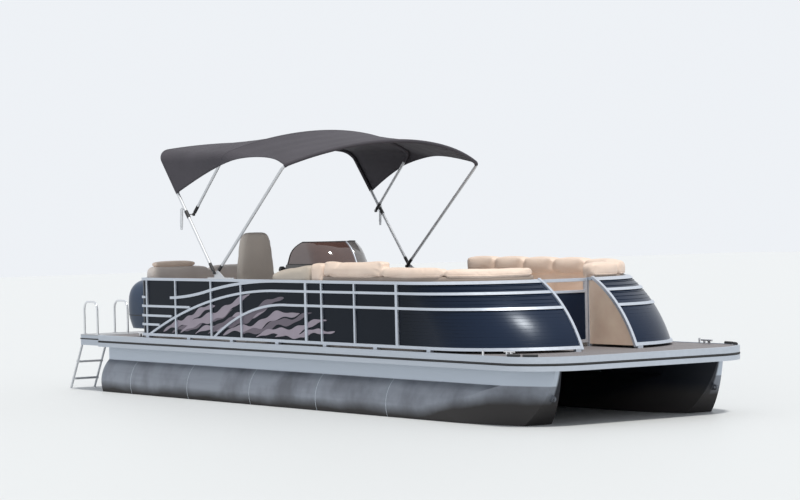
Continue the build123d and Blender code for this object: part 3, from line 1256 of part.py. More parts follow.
with BuildPart() as swivel_bracket:
    with BuildSketch(Plane.XZ.offset(-CLAMP_Y - CLAMP_T)):
        with Locations((TILT_X, TILT_Z)):
            Circle(TILT_R)
    extrude(amount=2 * (CLAMP_Y + CLAMP_T))
    half_w = CLAMP_Y - CLAMP_T / 2 - MOVING_GAP
    with BuildSketch(Plane.XZ.offset(-half_w)):
        with BuildLine():
            Polyline(
                (TILT_X + SWIVEL_FRONT, TILT_Z + SWIVEL_FRONT),
                (TILT_X + SWIVEL_FRONT, SWIVEL_BOTTOM + 2 * SWIVEL_FRONT),
                (STEER_X + SWIVEL_TUBE_R / 2, SWIVEL_BOTTOM),
                (STEER_X + SWIVEL_TUBE_R / 2, SWIVEL_TOP),
                (TILT_X, SWIVEL_TOP),
                close=True,
            )
        make_face()
    extrude(amount=2 * half_w)
    with BuildSketch(Plane.XY.offset(SWIVEL_BOTTOM)):
        with Locations((STEER_X, 0)):
            Circle(SWIVEL_TUBE_R)
    extrude(amount=SWIVEL_TOP - SWIVEL_BOTTOM)
    with BuildSketch(Plane.XY.offset(SWIVEL_BOTTOM)):
        with Locations((STEER_X, 0)):
            Circle(KINGPIN_R + PIN_GAP)
    extrude(amount=SWIVEL_TOP - SWIVEL_BOTTOM, mode=Mode.SUBTRACT)
save(swivel_bracket.part, "motor_swivel_bracket")

with BuildPart() as motor_leg:
    leg_top = COWL_BOTTOM
    leg_l = LEG_FRONT_X - LEG_AFT_X
    with BuildSketch(Plane.XY.offset(PLATE_Z)):
        with Locations((LEG_FRONT_X - leg_l / 2, 0)):
            SlotOverall(leg_l, 2 * LEG_FOOT_HALF)
    with BuildSketch(Plane.XY.offset(leg_top)):
        with Locations((LEG_FRONT_X - leg_l / 2 - LEG_SPREAD, 0)):
            SlotOverall(leg_l + 2 * LEG_SPREAD, 2 * LEG_HALF)
    loft(ruled=True)
    for z in (SWIVEL_TOP + MOVING_GAP, SWIVEL_BOTTOM - MOVING_GAP - YOKE_H):
        with BuildSketch(Plane.XY.offset(z)):
            with Locations((STEER_X, 0)):
                Circle(YOKE_R)
            with Locations(((STEER_X + LEG_AFT_X) / 2, 0)):
                Rectangle(STEER_X - LEG_AFT_X, 2 * YOKE_R)
        extrude(amount=YOKE_H)
    with BuildSketch(Plane.XY.offset(SWIVEL_BOTTOM - MOVING_GAP)):
        with Locations((STEER_X, 0)):
            Circle(KINGPIN_R)
    extrude(amount=SWIVEL_TOP - SWIVEL_BOTTOM + 2 * MOVING_GAP)
    with BuildSketch(Plane.XY.offset(PLATE_Z)):
        with BuildLine():
            Polyline(
                (GEAR_FRONT_X, 0),
                (LEG_FRONT_X - CAV_HALF, CAV_HALF * 0.8),
                (CAV_AFT_X, CAV_HALF),
                (CAV_AFT_X, -CAV_HALF),
                (LEG_FRONT_X - CAV_HALF, -CAV_HALF * 0.8),
                close=True,
            )
        make_face()
    extrude(amount=CAV_PLATE_T)
    with BuildSketch(Plane.XY.offset(GEAR_Z)):
        with BuildLine():
            strut_front = GEAR_FRONT_X - STRUT_INSET
            strut_aft = GEAR_AFT_X + STRUT_INSET
            strut_mid = (strut_front + strut_aft) / 2
            ThreePointArc((strut_front, 0), (strut_mid, STRUT_HALF), (strut_aft, 0))
            ThreePointArc((strut_aft, 0), (strut_mid, -STRUT_HALF), (strut_front, 0))
        make_face()
    extrude(amount=PLATE_Z - GEAR_Z)
    with BuildSketch(Plane.XZ):
        with BuildLine():
            Line((GEAR_AFT_X, GEAR_Z), (GEAR_FRONT_X, GEAR_Z))
            ThreePointArc(
                (GEAR_FRONT_X, GEAR_Z),
                (GEAR_FRONT_X - GEAR_NOSE * 0.3, GEAR_Z + GEAR_R * 0.72),
                (GEAR_FRONT_X - GEAR_NOSE, GEAR_Z + GEAR_R),
            )
            Line((GEAR_FRONT_X - GEAR_NOSE, GEAR_Z + GEAR_R), (GEAR_AFT_X, GEAR_Z + GEAR_R))
            Line((GEAR_AFT_X, GEAR_Z + GEAR_R), (GEAR_AFT_X, GEAR_Z))
        make_face()
    revolve(axis=Axis((0, 0, GEAR_Z), (1, 0, 0)))
    with BuildSketch(Plane.XZ.offset(-SKEG_T / 2)):
        with BuildLine():
            Polyline(
                (GEAR_FRONT_X - GEAR_NOSE, GEAR_Z),
                (GEAR_FRONT_X - GEAR_NOSE * 2.2, SKEG_Z),
                (GEAR_AFT_X + GEAR_NOSE, SKEG_Z),
                (GEAR_AFT_X + GEAR_NOSE * 0.4, GEAR_Z),
                close=True,
            )
        make_face()
    extrude(amount=SKEG_T)
save(motor_leg.part, "motor_leg")

with BuildPart() as motor_cowl:
    cowl_mid_x = (COWL_FRONT_X + COWL_AFT_X) / 2
    cowl_l = COWL_FRONT_X - COWL_AFT_X
    levels = (
        (0, 0.86, 0.84, 0),
        (0.35, 1.0, 1.0, 0),
        (0.8, 0.92, 0.9, COWL_SET_BACK),
        (1, 0.62, 0.62, 2 * COWL_SET_BACK),
    )
    shapes = []
    for share, along, across, set_back in levels:
        with BuildSketch(Plane.XY.offset(COWL_BOTTOM + COWL_H * share)) as level:
            with Locations((cowl_mid_x - set_back, 0)):
                RectangleRounded(cowl_l * along, 2 * COWL_HALF * across, COWL_R)
        shapes.append(level.sketch)
    loft(sections=shapes, ruled=True)
save(motor_cowl.part, "motor_cowl")

with BuildPart() as propeller:
    hub_x = GEAR_AFT_X - SEAT_GAP
    with BuildSketch(Plane.YZ.offset(hub_x)):
        with Locations((0, GEAR_Z)):
            Circle(PROP_HUB_R)
    extrude(amount=-PROP_HUB_L)
    for index in range(PROP_BLADES):
        turn = 360 / PROP_BLADES * index
        spoke = (0, sin(radians(turn)), cos(radians(turn)))
        across = Vector(1, 0, 0).rotate(Axis((0, 0, 0), spoke), PROP_PITCH)
        origin = (hub_x - PROP_HUB_L / 2, 0, GEAR_Z)
        blade_plane = Plane(origin=origin, x_dir=across, z_dir=Vector(spoke).cross(across))
        with BuildSketch(blade_plane):
            with Locations((0, (PROP_HUB_R * 0.6 + PROP_R) / 2)):
                Ellipse(PROP_BLADE_W / 2, (PROP_R - PROP_HUB_R * 0.6) / 2)
        extrude(amount=PROP_BLADE_T / 2, both=True)
save(propeller.part, "propeller")

# Boarding ladder and grab rails at the platform's starboard side
pivot_x = STERN_X - LADDER_PIVOT_OUT
ladder_dir = (-sin(radians(LADDER_LEAN)), 0, -cos(radians(LADDER_LEAN)))


def on_ladder(distance):
    """Point in the ladder's middle plane at a distance from its pivot."""
    return (pivot_x + ladder_dir[0] * distance, LADDER_Y, LADDER_PIVOT_Z + ladder_dir[2] * distance)


with BuildPart() as ladder:
    for side in (-1, 1):
        origin = on_ladder(0)
        start = (origin[0], LADDER_Y + side * LADDER_HALF, origin[2])
        with BuildSketch(Plane(origin=start, x_dir=(0, 1, 0), z_dir=ladder_dir)):
            Circle(LADDER_TUBE_R)
        extrude(amount=LADDER_L)
    with BuildSketch(Plane.XZ.offset(-LADDER_Y - LADDER_HALF - LADDER_ROD_OUT)):
        with Locations((pivot_x, LADDER_PIVOT_Z)):
            Circle(LADDER_ROD_R)
    extrude(amount=2 * (LADDER_HALF + LADDER_ROD_OUT))
    step_pitch = (LADDER_L - LADDER_TAIL - LADDER_FIRST_STEP) / (LADDER_STEPS - 1)
    for index in range(LADDER_STEPS):
        centre = on_ladder(LADDER_FIRST_STEP + index * step_pitch)
        with BuildSketch(Plane.XZ.offset(-LADDER_Y - LADDER_HALF)):
            with Locations((centre[0], centre[2])):
                Rectangle(STEP_W, STEP_T)
        extrude(amount=2 * LADDER_HALF)
save(ladder.part, "ladder")

with BuildPart() as ladder_brackets:
    for side in (-1, 1):
        y = LADDER_Y + side * (LADDER_HALF + BRACKET_OUT)
        with BuildSketch(Plane.XZ.offset(-y - BRACKET_T / 2)):
            with BuildLine():
                Polyline(
                    (STERN_X, platform_bottom - PLATFORM_SKIRT_H),
                    (STERN_X, RAIL_TOP),
                    (pivot_x, LADDER_PIVOT_Z + BRACKET_R),
                    (pivot_x - BRACKET_R, LADDER_PIVOT_Z),
                    (pivot_x, LADDER_PIVOT_Z - BRACKET_R),
                    close=True,
                )
            make_face()
            with Locations((pivot_x, LADDER_PIVOT_Z)):
                Circle(LADDER_ROD_R + PIN_GAP, mode=Mode.SUBTRACT)
        extrude(amount=BRACKET_T)
save(ladder_brackets.part, "ladder_brackets")

with BuildPart() as grab_rails:
    for y in GRAB_YS:
        with BuildLine(Plane.XZ.offset(-y)) as loop:
            FilletPolyline(
                (GRAB_AFT_X, RAIL_TOP),
                (GRAB_AFT_X, RAIL_TOP + GRAB_H),
                (GRAB_AFT_X + GRAB_L, RAIL_TOP + GRAB_H),
                (GRAB_AFT_X + GRAB_L, RAIL_TOP),
                radius=GRAB_BEND_R,
            )
        with BuildSketch(Plane(origin=loop.line @ 0, z_dir=loop.line % 0)):
            Circle(GRAB_R)
        sweep(path=loop.line)
        with BuildSketch(Plane.XY.offset(RAIL_TOP)):
            for x in (GRAB_AFT_X, GRAB_AFT_X + GRAB_L):
                with Locations((x, y)):
                    Circle(GRAB_FLANGE_R)
        extrude(amount=GRAB_FLANGE_T)
save(grab_rails.part, "grab_rails")

with BuildPart() as cleats:
    for x in CLEAT_XS:
        for side in (-1, 1):
            with BuildSketch(Plane.XY.offset(DECK_TOP)):
                for step in (-1, 1):
                    with Locations((x + step * CLEAT_L / 5, side * CLEAT_Y)):
                        Rectangle(CLEAT_POST, CLEAT_POST)
            extrude(amount=CLEAT_H)
            with BuildSketch(Plane.YZ.offset(x - CLEAT_L / 2)):
                with Locations((side * CLEAT_Y, DECK_TOP + CLEAT_H)):
                    Circle(CLEAT_POST / 2)
            extrude(amount=CLEAT_L)
save(cleats.part, "cleats")
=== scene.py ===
# %% [markdown]
# A pontoon boat is a deck on two long aluminium tubes, with a fence round it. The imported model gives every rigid
# part at its real size. This script dresses it: metals, gloss panels, upholstery, canvas and the small fittings.
# Units are metres, +X is towards the bow, +Y to port, and the waterline is at zero.

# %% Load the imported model
import math

import bmesh
import bpy
import numpy as np
from mathutils import Matrix, Vector
from mathutils.bvhtree import BVHTree


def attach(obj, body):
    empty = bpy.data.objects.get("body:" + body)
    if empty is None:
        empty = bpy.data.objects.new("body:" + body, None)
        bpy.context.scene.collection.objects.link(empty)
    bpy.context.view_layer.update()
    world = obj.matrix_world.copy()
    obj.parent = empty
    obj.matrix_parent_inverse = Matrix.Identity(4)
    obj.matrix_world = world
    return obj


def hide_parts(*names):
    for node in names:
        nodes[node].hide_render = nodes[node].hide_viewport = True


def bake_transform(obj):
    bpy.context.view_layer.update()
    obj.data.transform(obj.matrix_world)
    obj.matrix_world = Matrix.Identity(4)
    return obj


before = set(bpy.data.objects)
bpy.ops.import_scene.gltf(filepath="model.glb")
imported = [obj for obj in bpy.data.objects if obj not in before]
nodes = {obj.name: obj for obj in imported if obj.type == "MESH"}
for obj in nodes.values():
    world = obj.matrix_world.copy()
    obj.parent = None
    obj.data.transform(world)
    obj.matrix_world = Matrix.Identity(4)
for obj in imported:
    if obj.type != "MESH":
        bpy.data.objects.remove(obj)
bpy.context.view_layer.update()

# %% [markdown]
# The photograph looks over the starboard bow from a jetty, far away and through a long lens. Its position was
# worked out from the boat's own straight lines, so the same lens and place give the same foreshortening.

# %% Camera
CAMERA_AT = Vector((22.100, -15.239, 1.883))
CAMERA_YAW = math.radians(145.08)
CAMERA_PITCH = math.radians(-0.78)
CAMERA_ROLL = math.radians(-1.21)
SENSOR_W = 36.0
LENS = 119.4

ahead = Vector(
    (
        math.cos(CAMERA_PITCH) * math.cos(CAMERA_YAW),
        math.cos(CAMERA_PITCH) * math.sin(CAMERA_YAW),
        math.sin(CAMERA_PITCH),
    )
)
level_right = ahead.cross(Vector((0, 0, 1))).normalized()
level_up = level_right.cross(ahead)
right = level_right * math.cos(CAMERA_ROLL) + level_up * math.sin(CAMERA_ROLL)
up = level_up * math.cos(CAMERA_ROLL) - level_right * math.sin(CAMERA_ROLL)

camera_data = bpy.data.cameras.new("camera")
camera_data.lens = LENS
camera_data.sensor_width = SENSOR_W
camera_data.clip_end = 400
camera = bpy.data.objects.new("camera", camera_data)
turn = Matrix((right, up, -ahead)).transposed().to_4x4()
camera.matrix_world = Matrix.Translation(CAMERA_AT) @ turn
bpy.context.scene.collection.objects.link(camera)
bpy.context.scene.camera = camera

# %% [markdown]
# The floor lies at the waterline, where the real boat meets the water, so the lower half of the tubes is below it.
# It is pale and plain. A pale sky in the world gives soft light from all round, and one sun high over the bow
# gives the tubes and cushions their shape.

# %% Floor, sky and lamps
FLOOR_HALF = 60.0
SKY_FILL = 0.62
SKY_SEEN = 0.92
SUN_STRENGTH = 2.5
SUN_SPREAD = math.radians(8)
SUN_FROM = Vector((0.416, -0.073, 0.906))


def mesh_object(name, vertices, faces):
    """Make an object at the origin from points and faces."""
    mesh = bpy.data.meshes.new(name)
    mesh.from_pydata([tuple(v) for v in vertices], [], [tuple(f) for f in faces])
    mesh.update()
    made = bpy.data.objects.new(name, mesh)
    bpy.context.scene.collection.objects.link(made)
    return made


corners = [(x * FLOOR_HALF, y * FLOOR_HALF, 0) for x, y in ((-1, -1), (1, -1), (1, 1), (-1, 1))]
floor = mesh_object("floor", corners, [(0, 1, 2, 3)])
floor_material = bpy.data.materials.new("floor")
floor_material.use_nodes = True
floor_shader = floor_material.node_tree.nodes["Principled BSDF"]
floor_shader.inputs["Base Color"].default_value = (0.66, 0.68, 0.69, 1)
floor_shader.inputs["Roughness"].default_value = 0.55
floor.data.materials.append(floor_material)

world = bpy.data.worlds.new("sky")
world.use_nodes = True
bpy.context.scene.world = world
sky = world.node_tree
sky_shader = sky.nodes["Background"]
rays = sky.nodes.new("ShaderNodeLightPath")
seen = sky.nodes.new("ShaderNodeMath")
seen.operation = "MAXIMUM"
mirrored = sky.nodes.new("ShaderNodeMath")
mirrored.operation = "MAXIMUM"
sky.links.new(rays.outputs["Is Glossy Ray"], mirrored.inputs[0])
sky.links.new(rays.outputs["Is Transmission Ray"], mirrored.inputs[1])
sky.links.new(rays.outputs["Is Camera Ray"], seen.inputs[0])
sky.links.new(mirrored.outputs[0], seen.inputs[1])
strength = sky.nodes.new("ShaderNodeMapRange")
strength.inputs["To Min"].default_value = SKY_FILL
strength.inputs["To Max"].default_value = SKY_SEEN
sky.links.new(seen.outputs[0], strength.inputs["Value"])
sky.links.new(strength.outputs["Result"], sky_shader.inputs["Strength"])
sky_shader.inputs["Color"].default_value = (0.93, 0.96, 1.0, 1)

sun_data = bpy.data.lights.new("sun", "SUN")
sun_data.energy = SUN_STRENGTH
sun_data.angle = SUN_SPREAD
sun_data.color = (1.0, 0.97, 0.92)
sun = bpy.data.objects.new("sun", sun_data)
sun.rotation_mode = "QUATERNION"
sun.rotation_quaternion = SUN_FROM.to_track_quat("Z", "Y")
bpy.context.scene.collection.objects.link(sun)
bpy.context.scene.view_settings.view_transform = "Standard"

# %% [markdown]
# Each finish starts from one Principled shader. What varies over a surface, such as brushing, grain, weave and
# stains, comes from small node groups that several finishes share with their own values.

# %% A helper that opens a material
def open_material(name, colour, rough, metal=0.0, coat=0.0):
    """Start a material and give back its name, tree and shader."""
    made = bpy.data.materials.new(name)
    made.use_nodes = True
    tree = made.node_tree
    shader = tree.nodes["Principled BSDF"]
    shader.inputs["Base Color"].default_value = (*colour, 1)
    shader.inputs["Roughness"].default_value = rough
    shader.inputs["Metallic"].default_value = metal
    shader.inputs["Coat Weight"].default_value = coat
    return made, tree, shader


# %% Shared node groups
def open_group(name, inputs, outputs):
    """Start a shader node group with float inputs and outputs, and its coordinates."""
    group = bpy.data.node_groups.new(name, "ShaderNodeTree")
    for label, value in inputs:
        socket = group.interface.new_socket(label, in_out="INPUT", socket_type="NodeSocketFloat")
        socket.default_value = value
    for label in outputs:
        group.interface.new_socket(label, in_out="OUTPUT", socket_type="NodeSocketFloat")
    entry = group.nodes.new("NodeGroupInput")
    leave = group.nodes.new("NodeGroupOutput")
    place = group.nodes.new("ShaderNodeTexCoord")
    return group, entry, leave, place


def stretched(group, place, scale):
    """Object coordinates scaled by axis."""
    mapping = group.nodes.new("ShaderNodeMapping")
    mapping.inputs["Scale"].default_value = scale
    group.links.new(place.outputs["Object"], mapping.inputs["Vector"])
    return mapping.outputs["Vector"]


def noise_at(group, vector, scale, detail):
    """A noise texture; scale is a number or a socket."""
    texture = group.nodes.new("ShaderNodeTexNoise")
    texture.inputs["Detail"].default_value = detail
    group.links.new(vector, texture.inputs["Vector"])
    if isinstance(scale, bpy.types.NodeSocket):
        group.links.new(scale, texture.inputs["Scale"])
    else:
        texture.inputs["Scale"].default_value = scale
    return texture.outputs["Fac"]


def ranged(group, value, low, high, out_low=0.0, out_high=1.0):
    """Map a value from one range to another, clamped."""
    node = group.nodes.new("ShaderNodeMapRange")
    for label, number in (("From Min", low), ("From Max", high), ("To Min", out_low), ("To Max", out_high)):
        node.inputs[label].default_value = number
    group.links.new(value, node.inputs["Value"])
    return node.outputs["Result"]


def combined(group, operation, a, b):
    """A math node on two sockets or numbers."""
    node = group.nodes.new("ShaderNodeMath")
    node.operation = operation
    for index, value in enumerate((a, b)):
        if isinstance(value, bpy.types.NodeSocket):
            group.links.new(value, node.inputs[index])
        else:
            node.inputs[index].default_value = value
    return node.outputs[0]


brushed, entry, leave, place = open_group("brushed", [("Scale", 60.0)], ["Tone", "Height"])
fine = noise_at(brushed, stretched(brushed, place, (0.06, 0.6, 1.0)), entry.outputs["Scale"], 5.0)
broad = noise_at(brushed, stretched(brushed, place, (0.4, 1.0, 1.0)), 3.0, 3.0)
brushed.links.new(combined(brushed, "MULTIPLY", fine, ranged(brushed, broad, 0.3, 0.7, 0.7, 1.1)), leave.inputs["Tone"])
brushed.links.new(fine, leave.inputs["Height"])

stained, entry, leave, place = open_group("stained", [("Top", 0.45), ("Amount", 1.0)], ["Mask"])
drips = noise_at(stained, stretched(stained, place, (7.0, 7.0, 0.5)), 2.2, 6.0)
blots = noise_at(stained, stretched(stained, place, (1.6, 1.6, 3.0)), 3.1, 8.0)
split = stained.nodes.new("ShaderNodeSeparateXYZ")
stained.links.new(place.outputs["Object"], split.inputs["Vector"])
fall = combined(stained, "SUBTRACT", entry.outputs["Top"], split.outputs["Z"])
low_down = ranged(stained, fall, -0.05, 0.36)
marks = combined(stained, "ADD", ranged(stained, drips, 0.45, 0.62), ranged(stained, blots, 0.46, 0.6))
soiled = combined(stained, "MULTIPLY", combined(stained, "MULTIPLY", marks, low_down), entry.outputs["Amount"])
stained.links.new(ranged(stained, soiled, 0.0, 1.6), leave.inputs["Mask"])

grained, entry, leave, place = open_group("grained", [("Scale", 420.0)], ["Height", "Tone"])
cells = grained.nodes.new("ShaderNodeTexVoronoi")
cells.feature = "DISTANCE_TO_EDGE"
grained.links.new(stretched(grained, place, (1.0, 1.0, 1.0)), cells.inputs["Vector"])
grained.links.new(entry.outputs["Scale"], cells.inputs["Scale"])
grained.links.new(ranged(grained, cells.outputs["Distance"], 0.0, 0.25), leave.inputs["Height"])
grained.links.new(noise_at(grained, stretched(grained, place, (1.0, 1.0, 1.0)), 5.0, 6.0), leave.inputs["Tone"])

woven, entry, leave, place = open_group("woven", [("Pitch", 900.0)], ["Height", "Tone"])
threads = []
for direction in ("X", "Y"):
    wave = woven.nodes.new("ShaderNodeTexWave")
    wave.bands_direction = direction
    woven.links.new(place.outputs["Object"], wave.inputs["Vector"])
    woven.links.new(entry.outputs["Pitch"], wave.inputs["Scale"])
    threads.append(wave.outputs["Fac"])
woven.links.new(combined(woven, "MAXIMUM", threads[0], threads[1]), leave.inputs["Height"])
woven.links.new(noise_at(woven, stretched(woven, place, (1.0, 1.0, 1.0)), 2.4, 7.0), leave.inputs["Tone"])
print("shader groups", [g.name for g in bpy.data.node_groups])


# %% How a material takes a group
def place_group(tree, group, **values):
    """Put a node group in a material with its own values."""
    node = tree.nodes.new("ShaderNodeGroup")
    node.node_tree = group
    for label, value in values.items():
        node.inputs[label].default_value = value
    return node


def tinted(tree, shader, mask, colour_a, colour_b):
    """Colour that runs from a to b with a mask; gives the mix node."""
    mix = tree.nodes.new("ShaderNodeMix")
    mix.data_type = "RGBA"
    mix.inputs["A"].default_value = (*colour_a, 1)
    mix.inputs["B"].default_value = (*colour_b, 1)
    tree.links.new(mask, mix.inputs["Factor"])
    tree.links.new(mix.outputs["Result"], shader.inputs["Base Color"])
    return mix


def bumped(tree, shader, height, distance, strength=0.5):
    """Relief from a height, on the shader's normal."""
    bump = tree.nodes.new("ShaderNodeBump")
    bump.inputs["Strength"].default_value = strength
    bump.inputs["Distance"].default_value = distance
    tree.links.new(height, bump.inputs["Height"])
    tree.links.new(bump.outputs["Normal"], shader.inputs["Normal"])


# %% [markdown]
# Bare aluminium is neither mirror nor grey paint: it is a metal with a broken, brushed reflection. The tubes also
# show where they live: pale skirts above, a dark band where the water stands, and soft streaks between. The dark
# band is partly scum and partly painted shade, and it rises towards the bow as painted shade under the nose. The
# inner faces of the tubes are painted near black, as painted shade under the deck. One picture could carry all
# that, but masks worked out from the height and place need none and fit any view.

# %% Colour built up in layers
def layered(tree, shader, ground, layers):
    """Base colour from a ground colour, covered in turn by pairs of mask and colour."""
    below = None
    for mask, colour in layers:
        mix = tree.nodes.new("ShaderNodeMix")
        mix.data_type = "RGBA"
        mix.inputs["A"].default_value = (*ground, 1)
        mix.inputs["B"].default_value = (*colour, 1)
        if below is not None:
            tree.links.new(below, mix.inputs["A"])
        tree.links.new(mask, mix.inputs["Factor"])
        below = mix.outputs["Result"]
    tree.links.new(below, shader.inputs["Base Color"])


# %% Zones of a tube
ZONE_INPUTS = [("Scum top", 0.055), ("Scum rise", 0.15), ("Skirt", 0.351), ("Inner", 0.934)]
tube_zones, entry, leave, place = open_group("tube_zones", ZONE_INPUTS, ["Scum", "Skirt", "Inner", "Streak"])
where = tube_zones.nodes.new("ShaderNodeSeparateXYZ")
tube_zones.links.new(place.outputs["Object"], where.inputs["Vector"])
edge_noise = noise_at(tube_zones, stretched(tube_zones, place, (0.9, 0.9, 1.5)), 2.0, 4.0)
# Near the bow the top of the dark band rises: painted shade under the nose, above the scum at the water.
near_bow = ranged(tube_zones, where.outputs["X"], 2.3, 3.3)
rise = combined(tube_zones, "MULTIPLY", near_bow, entry.outputs["Scum rise"])
wander = ranged(tube_zones, edge_noise, 0.3, 0.7, -0.02, 0.02)
scum_line = combined(tube_zones, "ADD", combined(tube_zones, "ADD", entry.outputs["Scum top"], rise), wander)
below_line = combined(tube_zones, "SUBTRACT", scum_line, where.outputs["Z"])
tube_zones.links.new(ranged(tube_zones, below_line, -0.07, 0.03), leave.inputs["Scum"])
above_knee = combined(tube_zones, "SUBTRACT", where.outputs["Z"], entry.outputs["Skirt"])
tube_zones.links.new(ranged(tube_zones, above_knee, -0.004, 0.004), leave.inputs["Skirt"])
# The inner faces, towards the middle of the boat, get painted shade: near black, for the shade under the deck.
off_middle = combined(tube_zones, "ABSOLUTE", where.outputs["Y"], 0.0)
inward = combined(tube_zones, "SUBTRACT", entry.outputs["Inner"], off_middle)
tube_zones.links.new(ranged(tube_zones, inward, 0.0, 0.02), leave.inputs["Inner"])
streaks = noise_at(tube_zones, stretched(tube_zones, place, (1.1, 1.1, 0.9)), 2.4, 9.0)
tube_zones.links.new(ranged(tube_zones, streaks, 0.42, 0.70), leave.inputs["Streak"])


# %% Metals
def metal(name, colour, rough, scale=60.0, spread=0.14, metallic=1.0):
    """A brushed metal."""
    made, tree, shader = open_material(name, colour, rough, metallic)
    brush = place_group(tree, brushed, Scale=scale)
    dark = tuple(c * 0.82 for c in colour)
    tinted(tree, shader, brush.outputs["Tone"], dark, colour)
    tree.links.new(ranged(tree, brush.outputs["Tone"], 0.2, 0.8, rough, rough + spread), shader.inputs["Roughness"])
    bumped(tree, shader, brush.outputs["Height"], 0.0006, 0.3)
    return made


TUBE_PALE = (0.29, 0.32, 0.37)
TUBE_BRUSHED = (0.22, 0.24, 0.28)
TUBE_STREAK = (0.13, 0.14, 0.165)
SKIRT_PALE = (0.50, 0.56, 0.64)
# Painted shade: the near black of the tubes' inner faces.
INNER_PAINTED_SHADE = (0.014, 0.017, 0.025)
# Partly scum at the water, partly painted shade where the tubes turn under; the pod's stains use it too.
SCUM_AND_SHADE = (0.045, 0.042, 0.042)

tube_metal, tree, shader = open_material("tube_metal", TUBE_PALE, 0.45, 0.4)
brush = place_group(tree, brushed, Scale=35.0)
zones = place_group(tree, tube_zones)
layered(
    tree,
    shader,
    TUBE_PALE,
    [
        (brush.outputs["Tone"], TUBE_BRUSHED),
        (zones.outputs["Streak"], TUBE_STREAK),
        (zones.outputs["Skirt"], SKIRT_PALE),
        # The last two layers are painted shade on the inner faces, and scum with painted shade at the water.
        (zones.outputs["Inner"], INNER_PAINTED_SHADE),
        (zones.outputs["Scum"], SCUM_AND_SHADE),
    ],
)
tree.links.new(ranged(tree, zones.outputs["Scum"], 0.0, 1.0, 0.42, 0.75), shader.inputs["Roughness"])
bumped(tree, shader, brush.outputs["Height"], 0.001, 0.3)

pod_metal, tree, shader = open_material("pod_metal", TUBE_PALE, 0.5, 0.4)
stain = place_group(tree, stained, Top=0.42, Amount=1.0)
brush = place_group(tree, brushed, Scale=35.0)
layered(tree, shader, TUBE_PALE, [(brush.outputs["Tone"], TUBE_BRUSHED), (stain.outputs["Mask"], SCUM_AND_SHADE)])
bumped(tree, shader, brush.outputs["Height"], 0.001, 0.3)

rail_metal = metal("rail_metal", (0.62, 0.67, 0.75), 0.32, metallic=0.6)
band_metal = metal("band_metal", (0.54, 0.59, 0.66), 0.36, 40.0, metallic=0.55)
bow_metal = metal("bow_metal", (0.74, 0.76, 0.79), 0.42, 900.0, metallic=0.35)
bright_metal = metal("bright_metal", (0.85, 0.86, 0.88), 0.12, 120.0, 0.06)
prop_metal = metal("prop_metal", (0.55, 0.55, 0.57), 0.28)
print("metals ready")

# %% The platform: grey tread on top, bright metal on its edges
TREAD_FROM_Z = 0.6135
platform_metal, tree, shader = open_material("platform_metal", (0.50, 0.55, 0.62), 0.36, 0.6)
brush = place_group(tree, brushed, Scale=40.0)
zones = place_group(tree, tube_zones, **{"Skirt": TREAD_FROM_Z})
layered(
    tree,
    shader,
    (0.50, 0.55, 0.62),
    [(brush.outputs["Tone"], (0.41, 0.45, 0.51)), (zones.outputs["Skirt"], (0.38, 0.39, 0.41))],
)
tree.links.new(ranged(tree, zones.outputs["Skirt"], 0.0, 1.0, 0.6, 0.1), shader.inputs["Metallic"])
tree.links.new(ranged(tree, zones.outputs["Skirt"], 0.0, 1.0, 0.38, 0.65), shader.inputs["Roughness"])
bumped(tree, shader, brush.outputs["Height"], 0.0006, 0.3)


# %% [markdown]
# The fence panels, cowl and console are gloss sheets: a dark base under a clear coat. The panels read as nearly
# black along the sides and turn bluer and glossier where they bend in to the bow. The bluer base colour there is a
# painted reflection of the sky, and the coat grows with it, so their colour and coat follow the place along the
# boat, and the reflection is kept low and blue on the shader's own sockets. A slow ripple keeps the reflections
# from looking like glass.

# %% Gloss sheets, plastics and glass
def gloss(name, colour, rough=0.12, ripple=0.0012, coat=0.5, mirror=0.5):
    """A coated sheet with a slow ripple and fine dust; mirror is the base's own specular level."""
    made, tree, shader = open_material(name, colour, rough, 0.0, coat)
    shader.inputs["Coat Roughness"].default_value = 0.06
    shader.inputs["Specular IOR Level"].default_value = mirror
    grain = place_group(tree, grained, Scale=9.0)
    light = tuple(min(1.0, c * 1.5 + 0.004) for c in colour)
    tinted(tree, shader, grain.outputs["Tone"], colour, light)
    bumped(tree, shader, grain.outputs["Tone"], ripple, 0.35)
    return made


def plastic(name, colour, rough, scale=700.0, relief=0.0004):
    """A moulded plastic or rubber with a pebbled skin."""
    made, tree, shader = open_material(name, colour, rough)
    grain = place_group(tree, grained, Scale=scale)
    tinted(tree, shader, grain.outputs["Tone"], tuple(c * 0.8 for c in colour), tuple(c * 1.15 for c in colour))
    bumped(tree, shader, grain.outputs["Height"], relief, 0.5)
    return made


# The second colour, the blue, is a painted reflection of the sky where the panels bend in to the bow.
PANEL_DARK, PANEL_PAINTED_REFLECTION, PANEL_SHEEN = (0.004, 0.006, 0.011), (0.008, 0.016, 0.038), (0.45, 0.68, 1.0)
PANEL_TURN_FROM, PANEL_TURN_TO = 2.1, 3.2
navy, tree, shader = open_material("navy_gloss", PANEL_DARK, 0.28)
shader.inputs["Specular IOR Level"].default_value = 0.10
shader.inputs["Specular Tint"].default_value = (*PANEL_SHEEN, 1)
shader.inputs["Coat Roughness"].default_value = 0.26
reach = tree.nodes.new("ShaderNodeSeparateXYZ")
tree.links.new(tree.nodes.new("ShaderNodeTexCoord").outputs["Object"], reach.inputs["Vector"])
turning = ranged(tree, reach.outputs["X"], PANEL_TURN_FROM, PANEL_TURN_TO)
grain = place_group(tree, grained, Scale=9.0)
